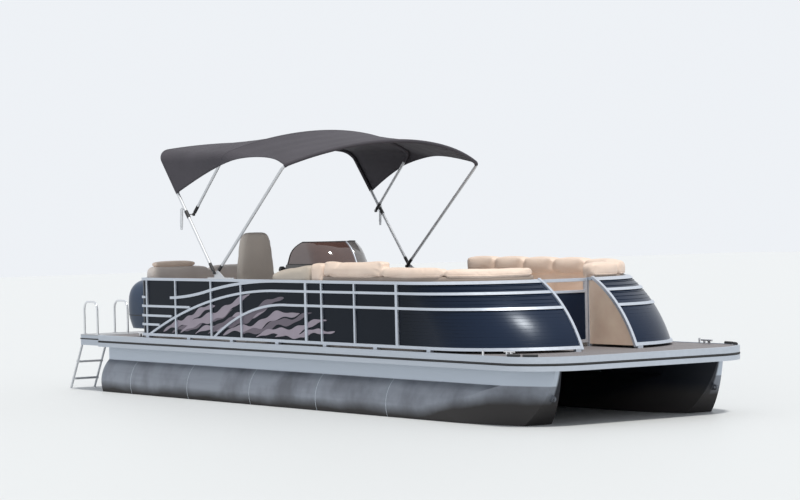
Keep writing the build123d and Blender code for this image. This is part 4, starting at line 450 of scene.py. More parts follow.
# Painted reflection: the base colour turns blue towards the bow.
layered(tree, shader, PANEL_DARK, [(turning, PANEL_PAINTED_REFLECTION)])
tree.links.new(ranged(tree, turning, 0.0, 1.0, 0.0, 0.30), shader.inputs["Coat Weight"])
bumped(tree, shader, grain.outputs["Tone"], 0.0008, 0.3)
cowl_navy = gloss("cowl_navy", (0.014, 0.032, 0.068), 0.28, 0.0006, 0.10, 0.18)
cheek_brown = gloss("cheek_brown", (0.78, 0.56, 0.44), 0.35, 0.0002, 0.1, 0.4)
console_dark = gloss("console_dark", (0.030, 0.027, 0.028), 0.3, 0.0008, 0.3)
band_pale = plastic("band_pale", (0.34, 0.29, 0.35), 0.45, 900.0, 0.0001)
band_dark = plastic("band_dark", (0.13, 0.105, 0.14), 0.45, 900.0, 0.0001)
deck_grey = plastic("deck_grey", (0.21, 0.195, 0.20), 0.65, 260.0, 0.0012)
floor_vinyl = plastic("floor_vinyl", (0.25, 0.235, 0.23), 0.7, 500.0, 0.001)
shell_plastic = plastic("shell_plastic", (0.50, 0.44, 0.39), 0.5)
black_plastic = plastic("black_plastic", (0.018, 0.018, 0.019), 0.45)
motor_black = plastic("motor_black", (0.022, 0.022, 0.024), 0.35, 900.0, 0.0002)
rubber_black = plastic("rubber_black", (0.020, 0.020, 0.021), 0.7)
dial_white = plastic("dial_white", (0.70, 0.70, 0.68), 0.4, 900.0, 0.0001)


def glazing(name, pale, deep, clear, rough=0.05):
    """A tinted acrylic sheet; clear is how much light goes through."""
    made, tree, shader = open_material(name, pale, rough)
    shader.inputs["Transmission Weight"].default_value = clear
    shader.inputs["IOR"].default_value = 1.49
    shader.inputs["Coat Weight"].default_value = 0.8
    shader.inputs["Coat Roughness"].default_value = 0.08
    haze = place_group(tree, grained, Scale=14.0)
    tinted(tree, shader, haze.outputs["Tone"], deep, pale)
    return made


screen_bronze = glazing("screen_bronze", (0.12, 0.068, 0.058), (0.085, 0.045, 0.038), 0.25)
screen_smoke = glazing("screen_smoke", (0.26, 0.25, 0.25), (0.20, 0.19, 0.19), 0.5)

# %% Which node takes which finish
FINISHES = {
    tube_metal: ("tube_starboard", "tube_port", "tow_eyes"),
    pod_metal: ("motor_pod", "cross_members"),
    rail_metal: ("rails_starboard", "rails_port", "stern_rails", "bow_gate", "side_gate", "stern_gate"),
    band_metal: ("rub_rail",),
    bow_metal: ("bimini_rear_bow", "bimini_front_bow", "bimini_middle_bow", "bimini_mounts", "ladder",
                "ladder_brackets"),
    bright_metal: ("grab_rails", "cleats", "helm_pedestal"),
    navy: ("fence_panels_starboard", "fence_panels_port", "stern_fence_panels"),
    cheek_brown: ("gate_cheeks",),
    deck_grey: ("deck",),
    platform_metal: ("stern_platform",),
    floor_vinyl: ("floor_covering",),
    shell_plastic: ("lounge_base_starboard", "lounge_base_port", "stern_base", "lounge_seat_starboard",
                    "lounge_back_starboard", "lounge_seat_port", "lounge_back_port", "stern_seat", "stern_back",
                    "coaming_pad", "helm_chair"),
    console_dark: ("helm_console",),
    screen_bronze: ("windscreen",),
    black_plastic: ("steering_wheel", "throttle", "bimini_canvas"),
    motor_black: ("motor_clamp", "motor_swivel_bracket", "motor_leg"),
    cowl_navy: ("motor_cowl",),
    prop_metal: ("propeller",),
}
for finish, names in FINISHES.items():
    for name in names:
        nodes[name].data.materials.clear()
        nodes[name].data.materials.append(finish)
print("finished nodes", sum(len(names) for names in FINISHES.values()))

# %% Soft goods
def vinyl(name, dark, pale):
    """Upholstery vinyl: a fine pebble and a slow change of tone."""
    made, tree, shader = open_material(name, pale, 0.5)
    grain = place_group(tree, grained, Scale=420.0)
    tinted(tree, shader, grain.outputs["Tone"], dark, pale)
    bumped(tree, shader, grain.outputs["Height"], 0.0008, 0.4)
    return made


vinyl_cream = vinyl("vinyl_cream", (0.74, 0.57, 0.46), (0.88, 0.73, 0.62))
vinyl_taupe = vinyl("vinyl_taupe", (0.46, 0.40, 0.33), (0.58, 0.51, 0.43))
vinyl_beige = vinyl("vinyl_beige", (0.50, 0.44, 0.39), (0.64, 0.57, 0.50))
# Painted light: the beige vinyl made paler for the stern back, so that its shaded side reads as lit.
vinyl_beige_painted_light = vinyl("vinyl_beige_painted_light", (0.62, 0.55, 0.51), (0.76, 0.69, 0.64))
# Painted shade: the back boards' brown stands for the shade under the rolls.
vinyl_painted_shade = vinyl("vinyl_painted_shade", (0.30, 0.24, 0.20), (0.40, 0.32, 0.27))
thread = plastic("thread", (0.55, 0.42, 0.33), 0.8, 900.0, 0.0001)
canvas_cloth, tree, shader = open_material("canvas_cloth", (0.05, 0.05, 0.056), 0.85)
weave = place_group(tree, woven, Pitch=900.0)
tinted(tree, shader, weave.outputs["Tone"], (0.040, 0.037, 0.045), (0.072, 0.066, 0.080))
bumped(tree, shader, weave.outputs["Height"], 0.0005, 0.5)


# %% [markdown]
# Many small things on a boat follow a line: bent tubes, ribs, weld seams, piping, rivets and stitches. A tube could
# be swept by hand for each, but two small Geometry Nodes trees do all of them. Both take an object that holds only
# edges. The first gives each line a round section, and the second sets studs or stitches along it.

# %% Opening a tree and applying it
def open_shape_tree(name, inputs):
    """Start a Geometry Nodes tree with a geometry input and named inputs of a given kind and value."""
    tree = bpy.data.node_groups.new(name, "GeometryNodeTree")
    tree.interface.new_socket("Geometry", in_out="INPUT", socket_type="NodeSocketGeometry")
    for label, kind, value in inputs:
        socket = tree.interface.new_socket(label, in_out="INPUT", socket_type="NodeSocket" + kind)
        if value is not None:
            socket.default_value = value
    tree.interface.new_socket("Geometry", in_out="OUTPUT", socket_type="NodeSocketGeometry")
    return tree, tree.nodes.new("NodeGroupInput"), tree.nodes.new("NodeGroupOutput")


def chain(tree, *sockets):
    """Link sockets in pairs: an output, then the input that it feeds."""
    for source, target in zip(sockets[::2], sockets[1::2]):
        tree.links.new(source, target)


def facing_out(mesh):
    """Turn every face of a closed mesh outwards."""
    work = bmesh.new()
    work.from_mesh(mesh)
    bmesh.ops.recalc_face_normals(work, faces=work.faces)
    work.to_mesh(mesh)
    work.free()


def applied(base, tree, **values):
    """Run a tree on an object and keep the result as its plain mesh."""
    grow = base.modifiers.new("grow", "NODES")
    grow.node_group = tree
    for item in tree.interface.items_tree:
        if item.item_type == "SOCKET" and item.in_out == "INPUT" and item.name in values:
            grow[item.identifier] = values[item.name]
    depsgraph = bpy.context.evaluated_depsgraph_get()
    made = bpy.data.meshes.new_from_object(base.evaluated_get(depsgraph))
    base.modifiers.clear()
    base.data = made
    facing_out(made)
    return base


# %% The tree that makes a round section
round_line, entry, leave = open_shape_tree(
    "round_line", [("Radius", "Float", 0.01), ("Sides", "Int", 12), ("Material", "Material", None)]
)
to_curve = round_line.nodes.new("GeometryNodeMeshToCurve")
ring = round_line.nodes.new("GeometryNodeCurvePrimitiveCircle")
sweep = round_line.nodes.new("GeometryNodeCurveToMesh")
sweep.inputs["Fill Caps"].default_value = True
soften = round_line.nodes.new("GeometryNodeSetShadeSmooth")
real = round_line.nodes.new("GeometryNodeRealizeInstances")
finish_node = round_line.nodes.new("GeometryNodeSetMaterial")
chain(
    round_line,
    entry.outputs["Geometry"], to_curve.inputs["Mesh"],
    entry.outputs["Radius"], ring.inputs["Radius"],
    entry.outputs["Sides"], ring.inputs["Resolution"],
    to_curve.outputs["Curve"], sweep.inputs["Curve"],
    ring.outputs["Curve"], sweep.inputs["Profile Curve"],
    sweep.outputs["Mesh"], soften.inputs["Geometry"],
    soften.outputs["Geometry"], real.inputs["Geometry"],
    real.outputs["Geometry"], finish_node.inputs["Geometry"],
    entry.outputs["Material"], finish_node.inputs["Material"],
    finish_node.outputs["Geometry"], leave.inputs["Geometry"],
)

# %% The tree that sets studs along a line
stud_row, entry, leave = open_shape_tree(
    "stud_row",
    [("Spacing", "Float", 0.1), ("Radius", "Float", 0.005), ("Stretch", "Float", 1.0), ("Material", "Material", None)],
)
to_curve = stud_row.nodes.new("GeometryNodeMeshToCurve")
spaced = stud_row.nodes.new("GeometryNodeResampleCurve")
spaced.mode = "LENGTH"
stud = stud_row.nodes.new("GeometryNodeMeshUVSphere")
stud.inputs["Segments"].default_value = 8
stud.inputs["Rings"].default_value = 5
tangent = stud_row.nodes.new("GeometryNodeInputTangent")
aim = stud_row.nodes.new("FunctionNodeAlignRotationToVector")
aim.axis = "Z"
size = stud_row.nodes.new("ShaderNodeCombineXYZ")
size.inputs["X"].default_value = 1.0
size.inputs["Y"].default_value = 1.0
scatter = stud_row.nodes.new("GeometryNodeInstanceOnPoints")
real = stud_row.nodes.new("GeometryNodeRealizeInstances")
soften = stud_row.nodes.new("GeometryNodeSetShadeSmooth")
finish_node = stud_row.nodes.new("GeometryNodeSetMaterial")
chain(
    stud_row,
    entry.outputs["Geometry"], to_curve.inputs["Mesh"],
    to_curve.outputs["Curve"], spaced.inputs["Curve"],
    entry.outputs["Spacing"], spaced.inputs["Length"],
    entry.outputs["Radius"], stud.inputs["Radius"],
    tangent.outputs["Tangent"], aim.inputs["Vector"],
    entry.outputs["Stretch"], size.inputs["Z"],
    spaced.outputs["Curve"], scatter.inputs["Points"],
    stud.outputs["Mesh"], scatter.inputs["Instance"],
    aim.outputs["Rotation"], scatter.inputs["Rotation"],
    size.outputs["Vector"], scatter.inputs["Scale"],
    scatter.outputs["Instances"], real.inputs["Geometry"],
    real.outputs["Geometry"], soften.inputs["Geometry"],
    soften.outputs["Geometry"], finish_node.inputs["Geometry"],
    entry.outputs["Material"], finish_node.inputs["Material"],
    finish_node.outputs["Geometry"], leave.inputs["Geometry"],
)
print("shape trees", round_line.name, stud_row.name)


# %% Lines, and what is made along them
def line_object(name, lines, closed=False):
    """An object whose edges follow the given lines of points; it holds no faces yet."""
    vertices, edges = [], []
    for line in lines:
        start = len(vertices)
        vertices += [tuple(point) for point in line]
        edges += [(start + k, start + k + 1) for k in range(len(line) - 1)]
        if closed:
            edges.append((len(vertices) - 1, start))
    mesh = bpy.data.meshes.new(name)
    mesh.from_pydata(vertices, edges, [])
    made = bpy.data.objects.new(name, mesh)
    bpy.context.scene.collection.objects.link(made)
    return made


def fit(piece, body, slot, *stands_for):
    """Say which body a piece rides on and the nodes that it stands for; slot, a name for its finish, is not used."""
    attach(piece, body)
    if stands_for:
        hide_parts(*stands_for)
    return piece


def tubes(name, lines, radius, finish, closed=False, sides=12):
    """Round tubes along lines."""
    base = line_object(name, lines, closed)
    return applied(base, round_line, Radius=radius, Sides=sides, Material=finish)


def studs(name, lines, spacing, radius, finish, stretch=1.0, closed=False):
    """Studs, or stitches where they are stretched, along lines."""
    base = line_object(name, lines, closed)
    return applied(base, stud_row, Spacing=spacing, Radius=radius, Stretch=stretch, Material=finish)


def merged(name, pieces):
    """Join plain meshes with their finishes into the first one, under a new name."""
    work = bmesh.new()
    finishes = []
    for piece in pieces:
        start = len(work.faces)
        work.from_mesh(piece.data)
        work.faces.ensure_lookup_table()
        place_in = len(finishes)
        finishes += list(piece.data.materials)
        for face in work.faces[start:]:
            face.material_index += place_in
    made = bpy.data.meshes.new(name)
    work.to_mesh(made)
    work.free()
    for finish in finishes:
        made.materials.append(finish)
    for piece in pieces[1:]:
        bpy.data.objects.remove(piece)
    pieces[0].data = made
    pieces[0].name = name
    return pieces[0]


def dressed(piece, finish, smooth=True):
    """One finish and one kind of shading over a whole piece."""
    piece.data.materials.clear()
    piece.data.materials.append(finish)
    piece.data.polygons.foreach_set("use_smooth", [smooth] * len(piece.data.polygons))
    return piece


def both_sides(points):
    """A line and its mirror image across the boat."""
    points = [Vector(point) for point in points]
    return [points, [Vector((point.x, -point.y, point.z)) for point in points]]

# %% [markdown]
# The top is one cut of woven canvas stretched over three bent tubes. It could be lofted between the tubes, but real
# cloth is tight only near them: its free sides are cut in an arch and the middle of each bay dips a little. So rows
# of points are laid across the hoops, each row blended between its two hoops and ended where it meets the arch of
# the side edge. The bays are then let down, and Solidify gives the cloth its thickness.

# %% The three hoops that carry the canvas
PIVOT = Vector((-1.31, 0, 1.318))
MID_PIVOT = Vector((-1.824608, 0, 1.922659))
# pivot, lean in degrees, half width, shoulder height, corner radius, corner turn, flap length; lengths in metres
REAR_HOOP = (PIVOT, 40.4, 1.225, 1.540, 0.150, 80, 0.450)
MID_HOOP = (MID_PIVOT, -47.3, 1.151, 0.828, 0.120, 60, 0.060)
FRONT_HOOP = (PIVOT, -51.0, 1.188, 1.637, 0.100, 57, 0.040)
CLOTH_LIFT = 0.0170


def hoop_point(hoop, share, lift=CLOTH_LIFT):
    """Point over a hoop: share -1 to 0 is the flap, 0 to 1 the corner and 1 to 2 half of the crown."""
    origin, lean, half, shoulder, radius, turn, flap = hoop
    lean = math.radians(lean)
    bend = math.radians(turn)
    reach = radius + lift
    if share <= 0:
        across, along = half + lift, shoulder + share * flap
    elif share <= 1:
        angle = bend * share
        across = half - radius + reach * math.cos(angle)
        along = shoulder + reach * math.sin(angle)
    else:
        end_across = half - radius + reach * math.cos(bend)
        end_along = shoulder + reach * math.sin(bend)
        rise = end_across * math.tan((math.pi / 2 - bend) / 2)
        crown_radius = end_across / math.cos(bend)
        angle = bend + (math.pi / 2 - bend) * (share - 1)
        across = crown_radius * math.cos(angle)
        along = end_along + rise - crown_radius * (1 - math.sin(angle))
    up = Vector((-math.sin(lean), 0, math.cos(lean)))
    return origin + Vector((0, across, 0)) + up * along


def hoop_line(hoop, from_along=None, from_share=0.0):
    """Line along a bow's tube, over the crown, from some way up its legs or from a share of its corners."""
    shoulder, flap = hoop[3], hoop[6]
    shares = [*np.linspace(from_share, 1, 13), *np.linspace(1, 2, 25)[1:]]
    if from_along is not None:
        shares.insert(0, (from_along - shoulder) / flap)
    port = [hoop_point(hoop, share, 0.0) for share in shares]
    starboard = [Vector((point.x, -point.y, point.z)) for point in port]
    return starboard + port[-2::-1]


def leg_point(hoop, side, along):
    """A place on one of a bow's two legs."""
    origin, lean, half = hoop[:3]
    lean = math.radians(lean)
    return origin + Vector((-math.sin(lean) * along, side * half, math.cos(lean) * along))


# %% Where the cut side edge runs
CANVAS_ACROSS = 150
CANVAS_BAYS = ((REAR_HOOP, MID_HOOP, 34), (MID_HOOP, FRONT_HOOP, 40))
BAY_DIP = 0.020
CLOTH_T = 0.0016
EDGE_XS = (-2.016, -1.52, -1.10, -0.55, 0.013)
EDGE_ZS = (2.148, 2.34, 2.45, 2.49, 2.389)
edge_arch = np.polynomial.Polynomial.fit(EDGE_XS, EDGE_ZS, 4)


def edge_share(bay, step):
    """Share at which a row of a bay meets the arch of the side edge, found by halving."""
    first, second, _ = CANVAS_BAYS[bay]
    low, high = -2.5, 1.6
    for _ in range(36):
        share = (low + high) / 2
        point = hoop_point(first, share).lerp(hoop_point(second, share), step)
        if point.z < edge_arch(point.x):
            low = share
        else:
            high = share
    return share


# %% Rows of the canvas
def half_row(bay, step):
    """Evenly spaced points of a row from its edge to the crown, on the port side."""
    first, second, _ = CANVAS_BAYS[bay]
    low = edge_share(bay, step)
    shares = [low + (2 - low) * k / 240 for k in range(241)]
    line = [hoop_point(first, w).lerp(hoop_point(second, w), step) for w in shares]
    length = [0.0]
    for a, b in zip(line, line[1:]):
        length.append(length[-1] + (b - a).length)
    places = np.linspace(0, length[-1], CANVAS_ACROSS // 2 + 1)
    return [Vector([np.interp(p, length, [v[axis] for v in line]) for axis in range(3)]) for p in places]


rows = []
dips = []
for bay, (first, second, count) in enumerate(CANVAS_BAYS):
    for index in range(count + (bay == 1)):
        step = index / count
        half = half_row(bay, step)
        starboard = [Vector((v.x, -v.y, v.z)) for v in half]
        rows.append(starboard + half[-2::-1])
        dips.append(BAY_DIP * (4 * step * (1 - step)) ** 0.8)

sheet_points = []
for row, dip in zip(rows, dips):
    for index, point in enumerate(row):
        across = index / CANVAS_ACROSS
        hold = math.sin(math.pi * across) ** 0.4 if 0 < across < 1 else 0
        crease = 0.003 * math.sin(point.x * 21 + 3 * math.sin(point.y * 4)) * hold
        inward = (Vector((-1.1, 0, 1.7)) - point).normalized()
        sheet_points.append(point + inward * (dip * (0.35 + 0.65 * hold) + crease * min(1, dip / 0.01)))
wide = CANVAS_ACROSS + 1
sheet_faces = [
    (r * wide + c, r * wide + c + 1, (r + 1) * wide + c + 1, (r + 1) * wide + c)
    for r in range(len(rows) - 1)
    for c in range(CANVAS_ACROSS)
]
canvas = mesh_object("top_canvas", sheet_points, sheet_faces)
canvas_wide = max(sum((b - a).length for a, b in zip(row, row[1:])) for row in rows)
canvas_long = sum((b[CANVAS_ACROSS // 2] - a[CANVAS_ACROSS // 2]).length for a, b in zip(rows, rows[1:]))

thicken = canvas.modifiers.new("cloth", "SOLIDIFY")
thicken.thickness = CLOTH_T
thicken.offset = 0
depsgraph = bpy.context.evaluated_depsgraph_get()
canvas.data = bpy.data.meshes.new_from_object(canvas.evaluated_get(depsgraph))
canvas.modifiers.clear()
dressed(canvas, canvas_cloth)

# %% [markdown]
# The edge of the canvas is a rolled hem, and each bow runs in a sleeve sewn under the cloth. The hem follows the
# canvas's side edges. Each sleeve belongs to its bow.

# %% Hem and sleeves
HEM_R = 0.0045
SLEEVE_R = 0.0192
FRONT_SLEEVE_SHARE = 0.5

side_edges = [[Vector(sheet_points[r * wide + c]) for r in range(len(rows))] for c in (0, wide - 1)]
hem = tubes("canvas_hem", side_edges, HEM_R, canvas_cloth, sides=8)
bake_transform(hem)

for label, hoop, body in (
    ("rear", REAR_HOOP, "rear_bow"),
    ("middle", MID_HOOP, "middle_bow"),
    ("front", FRONT_HOOP, "front_bow"),
):
    if label == "front":
        line = hoop_line(hoop, from_share=FRONT_SLEEVE_SHARE)
    else:
        line = hoop_line(hoop, hoop[3] - hoop[6])
    sleeve = tubes("canvas_sleeve_" + label, [line], SLEEVE_R, canvas_cloth, sides=14)
    fit(sleeve, body, "canvas")
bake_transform(canvas)
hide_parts("bimini_canvas")

# %% [markdown]
# Under the canvas each bow is one bent tube, plugged at its feet with black nylon ends that turn on the pivots. The
# middle bow hangs from the rear one by a clamp. The round-line tree bends the tubes along the same hoops.

# %% The bows
FRAME_TUBE_R = 0.016
MIDDLE_TUBE_R = 0.0145
PLUG_FROM, PLUG_TO = 0.028, 0.125
PLUG_R = 0.0175
NECK_R = 0.012
EYE_HALF = 0.010
EYE_RADIUS = 0.016
CLAMP_HALF = 0.045
PIN_RADIUS = 0.006

for label, hoop, body, radius in (
    ("rear", REAR_HOOP, "rear_bow", FRAME_TUBE_R),
    ("middle", MID_HOOP, "middle_bow", MIDDLE_TUBE_R),
    ("front", FRONT_HOOP, "front_bow", FRAME_TUBE_R),
):
    tube = tubes("bow_tube_" + label, [hoop_line(hoop, PLUG_FROM)], radius, bow_metal, sides=20)
    fit(tube, body, "bow_tube", f"bimini_{label}_bow")
    necks, plugs, eyes = [], [], []
    for side in (-1, 1):
        foot = leg_point(hoop, side, 0)
        across = Vector((0, EYE_HALF, 0))
        eyes.append([foot - across, foot + across])
        necks.append([leg_point(hoop, side, 0.004), leg_point(hoop, side, PLUG_FROM + 0.002)])
        plugs.append([leg_point(hoop, side, PLUG_FROM), leg_point(hoop, side, PLUG_TO)])
    parts = [
        tubes("plugs", plugs, PLUG_R, black_plastic, sides=20),
        tubes("necks", necks, NECK_R, black_plastic),
        tubes("eyes", eyes, EYE_RADIUS, black_plastic, sides=20),
    ]
    if label == "rear":
        hang = MID_PIVOT - PIVOT
        clamps, pins = [], []
        for side in (-1, 1):
            middle = hang.length
            clamps.append([leg_point(hoop, side, middle - CLAMP_HALF), leg_point(hoop, side, middle + CLAMP_HALF)])
            pin_end = MID_PIVOT + Vector((0, side * (MID_HOOP[2] - EYE_HALF - PIN_RADIUS / 2), 0))
            pins.append([leg_point(hoop, side, middle), pin_end])
        parts.append(tubes("clamps", clamps, FRAME_TUBE_R + 0.004, black_plastic, sides=20))
        parts.append(tubes("pins", pins, PIN_RADIUS, bright_metal))
    fit(merged("bow_fittings_" + label, parts), body, "panel_navy")

# %% Gusset plates and the rear bow's hanging straps
GUSSET = ((-1.300, 1.270), (-1.140, 1.270), (-1.245, 1.330), (-1.288, 1.345))
GUSSET_Y, GUSSET_T = 1.2065, 0.008


def plate(name, outline, low, high, axis="Y"):
    """A flat plate: an outline of two coordinates, carried between two places along the third axis."""
    count = len(outline)
    vertices = []
    for third in (low, high):
        for u, v in outline:
            vertices.append({"X": (third, u, v), "Y": (u, third, v), "Z": (u, v, third)}[axis])
    faces = [tuple(range(count)), tuple(range(2 * count - 1, count - 1, -1))]
    faces += [(k, (k + 1) % count, count + (k + 1) % count, count + k) for k in range(count)]
    made = mesh_object(name, vertices, faces)
    facing_out(made.data)
    return made


for label, side in (("starboard", -1), ("port", 1)):
    gusset = plate(
        "mount_gusset_" + label, GUSSET, side * (GUSSET_Y - GUSSET_T / 2), side * (GUSSET_Y + GUSSET_T / 2)
    )
    fit(dressed(gusset, bow_metal, False), "hull", "bow_tube")
STRUT_TOP, STRUT_DROP, STRUT_Y = Vector((-1.885, 0, 1.985)), 0.185, 1.225
strut_lines = [[], []]
for side in (-1, 1):
    top = STRUT_TOP + Vector((0, side * (STRUT_Y + 0.034), 0))
    foot = top + Vector((-0.012, 0, -STRUT_DROP))
    strut_lines[0].append([top, foot])
    strut_lines[1].append([top + Vector((0, -side * 0.034, 0)), top])
    strut_lines[1].append([foot, foot + Vector((-0.002, 0, -0.035))])
struts = merged(
    "rear_bow_struts",
    [
        tubes("strut", strut_lines[0], 0.016, bow_metal),
        tubes("strut_ends", strut_lines[1], 0.0125, bow_metal),
    ],
)
fit(struts, "rear_bow", "bow_tube")
print("bimini frame ready")

# %% [markdown]
# The cushions are foam blocks under stretched vinyl. A block with rounded edges looks like plastic, so each pad
# starts as a slightly small rounded form, is remeshed evenly, and a short cloth simulation blows it up from inside
# while its seams are held. The seams stay low and the vinyl swells between them, as it does over real foam.

# %% Where the benches run
BENCH_ARC_X = 2.027
BENCH_ARC_Y = 0.33


def bench_place(side, middle):
    """Map along, out, up to space: straight along the side, then a quarter turn in to the gate."""

    def place(along, out, height):
        if along <= BENCH_ARC_X:
            return Vector((along, side * (BENCH_ARC_Y + out), height))
        angle = (along - BENCH_ARC_X) / middle
        return Vector(
            (BENCH_ARC_X + out * math.sin(angle), side * (BENCH_ARC_Y + out * math.cos(angle)), height)
        )

    return place


def bench_along(side, middle, point):
    """How far along a bench a point lies."""
    if point.x <= BENCH_ARC_X:
        return point.x
    return BENCH_ARC_X + middle * math.atan2(point.x - BENCH_ARC_X, side * point.y - BENCH_ARC_Y)


# %% A rounded block between two places
AROUND = 44
EDGE_POWER = 6.0


def rounded_block(vertices, faces, place, along, out, height, edge=0.035, step=0.03):
    """Add a closed block with softened edges; along, out and height are pairs of limits."""
    start = len(vertices)
    length = along[1] - along[0]
    count = max(4, int(length / step))
    rings = [0.0, 0.12, 0.35, 0.7]
    places = [edge * r for r in rings]
    places += list(np.linspace(edge, length - edge, count))
    places += [length - edge * r for r in rings[::-1]]
    mid_out, mid_up = (out[0] + out[1]) / 2, (height[0] + height[1]) / 2
    half_out, half_up = (out[1] - out[0]) / 2, (height[1] - height[0]) / 2
    for reach in places:
        end = min(reach, length - reach, edge)
        inset = edge * (1 - math.sqrt(max(0.0, 1 - (1 - end / edge) ** 2)))
        for k in range(AROUND):
            angle = 2 * math.pi * k / AROUND
            c, s = math.cos(angle), math.sin(angle)
            a = math.copysign(abs(c) ** (2 / EDGE_POWER), c) * (half_out - inset)
            b = math.copysign(abs(s) ** (2 / EDGE_POWER), s) * (half_up - inset)
            vertices.append(place(along[0] + reach, mid_out + a, mid_up + b))
    ring_count = len(places)
    for r in range(ring_count - 1):
        for k in range(AROUND):
            a = start + r * AROUND + k
            b = start + r * AROUND + (k + 1) % AROUND
            faces.append((a, b, b + AROUND, a + AROUND))
    faces.append(tuple(range(start + AROUND - 1, start - 1, -1)))
    last = start + (ring_count - 1) * AROUND
    faces.append(tuple(range(last, last + AROUND)))


# %% Remesh, seams and the puffing simulation
VOXEL = 0.019
SWELL_FRAMES = 20
puffed = []


def even_mesh(pad, voxel=VOXEL):
    """Recalculate outward faces and remesh the pad into even quads."""
    work = bmesh.new()
    work.from_mesh(pad.data)
    bmesh.ops.recalc_face_normals(work, faces=work.faces)
    work.to_mesh(pad.data)
    work.free()
    remesh = pad.modifiers.new("even", "REMESH")
    remesh.mode = "VOXEL"
    remesh.voxel_size = voxel
    depsgraph = bpy.context.evaluated_depsgraph_get()
    even = bpy.data.meshes.new_from_object(pad.evaluated_get(depsgraph))
    pad.modifiers.remove(remesh)
    pad.data = even


def set_to_swell(pad, held, cap, pressure=4.0):
    """Prepare a pad: held gives each point a grip from 0 to 1, and cap is how far a point may move."""
    even_mesh(pad)
    grip = pad.vertex_groups.new(name="held")
    for vertex in pad.data.vertices:
        amount = held(vertex.co)
        if amount > 0:
            grip.add([vertex.index], amount, "REPLACE")
    rest = [vertex.co.copy() for vertex in pad.data.vertices]
    cloth = pad.modifiers.new("swell", "CLOTH")
    cloth.settings.quality = 5
    cloth.settings.mass = 0.25
    cloth.settings.tension_stiffness = 12
    cloth.settings.compression_stiffness = 8
    cloth.settings.shear_stiffness = 4
    cloth.settings.bending_stiffness = 0.6
    cloth.settings.use_pressure = True
    cloth.settings.uniform_pressure_force = pressure
    cloth.settings.vertex_group_mass = "held"
    cloth.settings.effector_weights.gravity = 0
    cloth.point_cache.frame_start = 1
    cloth.point_cache.frame_end = SWELL_FRAMES
    puffed.append((pad, rest, cap))


def swell_all():
    """Run every prepared pad together and keep its capped shape."""
    scene = bpy.context.scene
    for number in range(1, SWELL_FRAMES + 1):
        scene.frame_set(number)
    depsgraph = bpy.context.evaluated_depsgraph_get()
    shapes = []
    for pad, rest, cap in puffed:
        result = pad.evaluated_get(depsgraph).data
        shapes.append([vertex.co.copy() for vertex in result.vertices])
    for (pad, rest, cap), shape in zip(puffed, shapes):
        pad.modifiers.clear()
        for vertex, before, after in zip(pad.data.vertices, rest, shape):
            move = after - before
            if move.length > cap:
                move *= cap / move.length
            vertex.co = before + move
    scene.frame_set(1)


def finish_pad(pad):
    """One level of subdivision, applied."""
    smooth = pad.modifiers.new("smooth", "SUBSURF")
    smooth.levels = 1
    smooth.render_levels = 1
    depsgraph = bpy.context.evaluated_depsgraph_get()
    fine = bpy.data.meshes.new_from_object(pad.evaluated_get(depsgraph))
    pad.modifiers.clear()
    pad.vertex_groups.clear()
    pad.data = fine
    pad.data.polygons.foreach_set("use_smooth", [True] * len(fine.polygons))


# %% [markdown]
# A bench is built in layers. The seat pads lie on the base, and behind them a hard board carries the backs. The
# board's brown is painted shade, standing for the shade under the roll. Each back is one fat cushion with an inner
# face and a roll that laps over the board, so its section is an upside-down L.
# Two plain blocks that overlap are enough for that, because the voxel remesh fuses them into one skin. All the pads
# of a bench are one object, in blocks that butt end to end, so that one simulation swells them all.

# %% The bench pads
SEAT_MIDDLE = 0.570
BACK_MIDDLE = 0.790
CHANNEL_HALF = 0.013
PAD_GAP = 0.005
ROLL_BASE = 1.288
PILLOW_BASE = 1.262
HEAD_BASE = 1.380

PAD_SETS = {}


def bench_pads(name, side, middle, out, blocks, channels=(), edge=0.035):
    """Pads along a bench from blocks of first, last, base and top; gives the object and its grip test."""
    vertices, faces = [], []
    place = bench_place(side, middle)
    for first, last, base, top in blocks:
        rounded_block(vertices, faces, place, (first + PAD_GAP / 2, last - PAD_GAP / 2), out, (base, top), edge)
    pad = mesh_object(name, vertices, faces)

    def held(point):
        along = bench_along(side, middle, point)
        base = min((b[2] for b in blocks if b[0] - 0.01 <= along <= b[1] + 0.01), default=blocks[0][2])
        near = min((abs(along - c) for c in channels), default=1.0)
        return 1.0 if point.z < base + 0.012 or near < CHANNEL_HALF else 0.0

    return pad, held


def even_breaks(first, last, count):
    """Equal splits between two places."""
    return [first + (last - first) * k / count for k in range(count + 1)]


def bench_end(middle):
    """How far along a bench its quarter turn ends."""
    return BENCH_ARC_X + middle * math.pi / 2


# first, last, base and top of each roll along the bench
ROLLS = {
    "starboard": (
        (0.655, 1.66, ROLL_BASE, 1.388),
        (1.66, 2.46, ROLL_BASE, 1.382),
        (2.46, 3.264, ROLL_BASE, 1.366),
    ),
    "port": (
        (-0.035, 0.45, PILLOW_BASE, 1.422),
        (0.45, 0.93, PILLOW_BASE, 1.420),
        (0.93, 1.41, PILLOW_BASE, 1.416),
        (1.41, 1.90, PILLOW_BASE, 1.410),
        (1.90, 2.40, PILLOW_BASE, 1.400),
        (2.40, 2.85, PILLOW_BASE, 1.392),
        (2.85, 3.264, PILLOW_BASE, 1.386),
    ),
}
# how far out a roll starts, and how round its edges are
ROLL_SHAPE = {"starboard": (0.728, 0.042), "port": (0.698, 0.052)}
HEADRESTS = {"starboard": ((0.665, 0.93, 1.440), (0.935, 1.655, 1.442)), "port": ()}
BOARD_SET = []

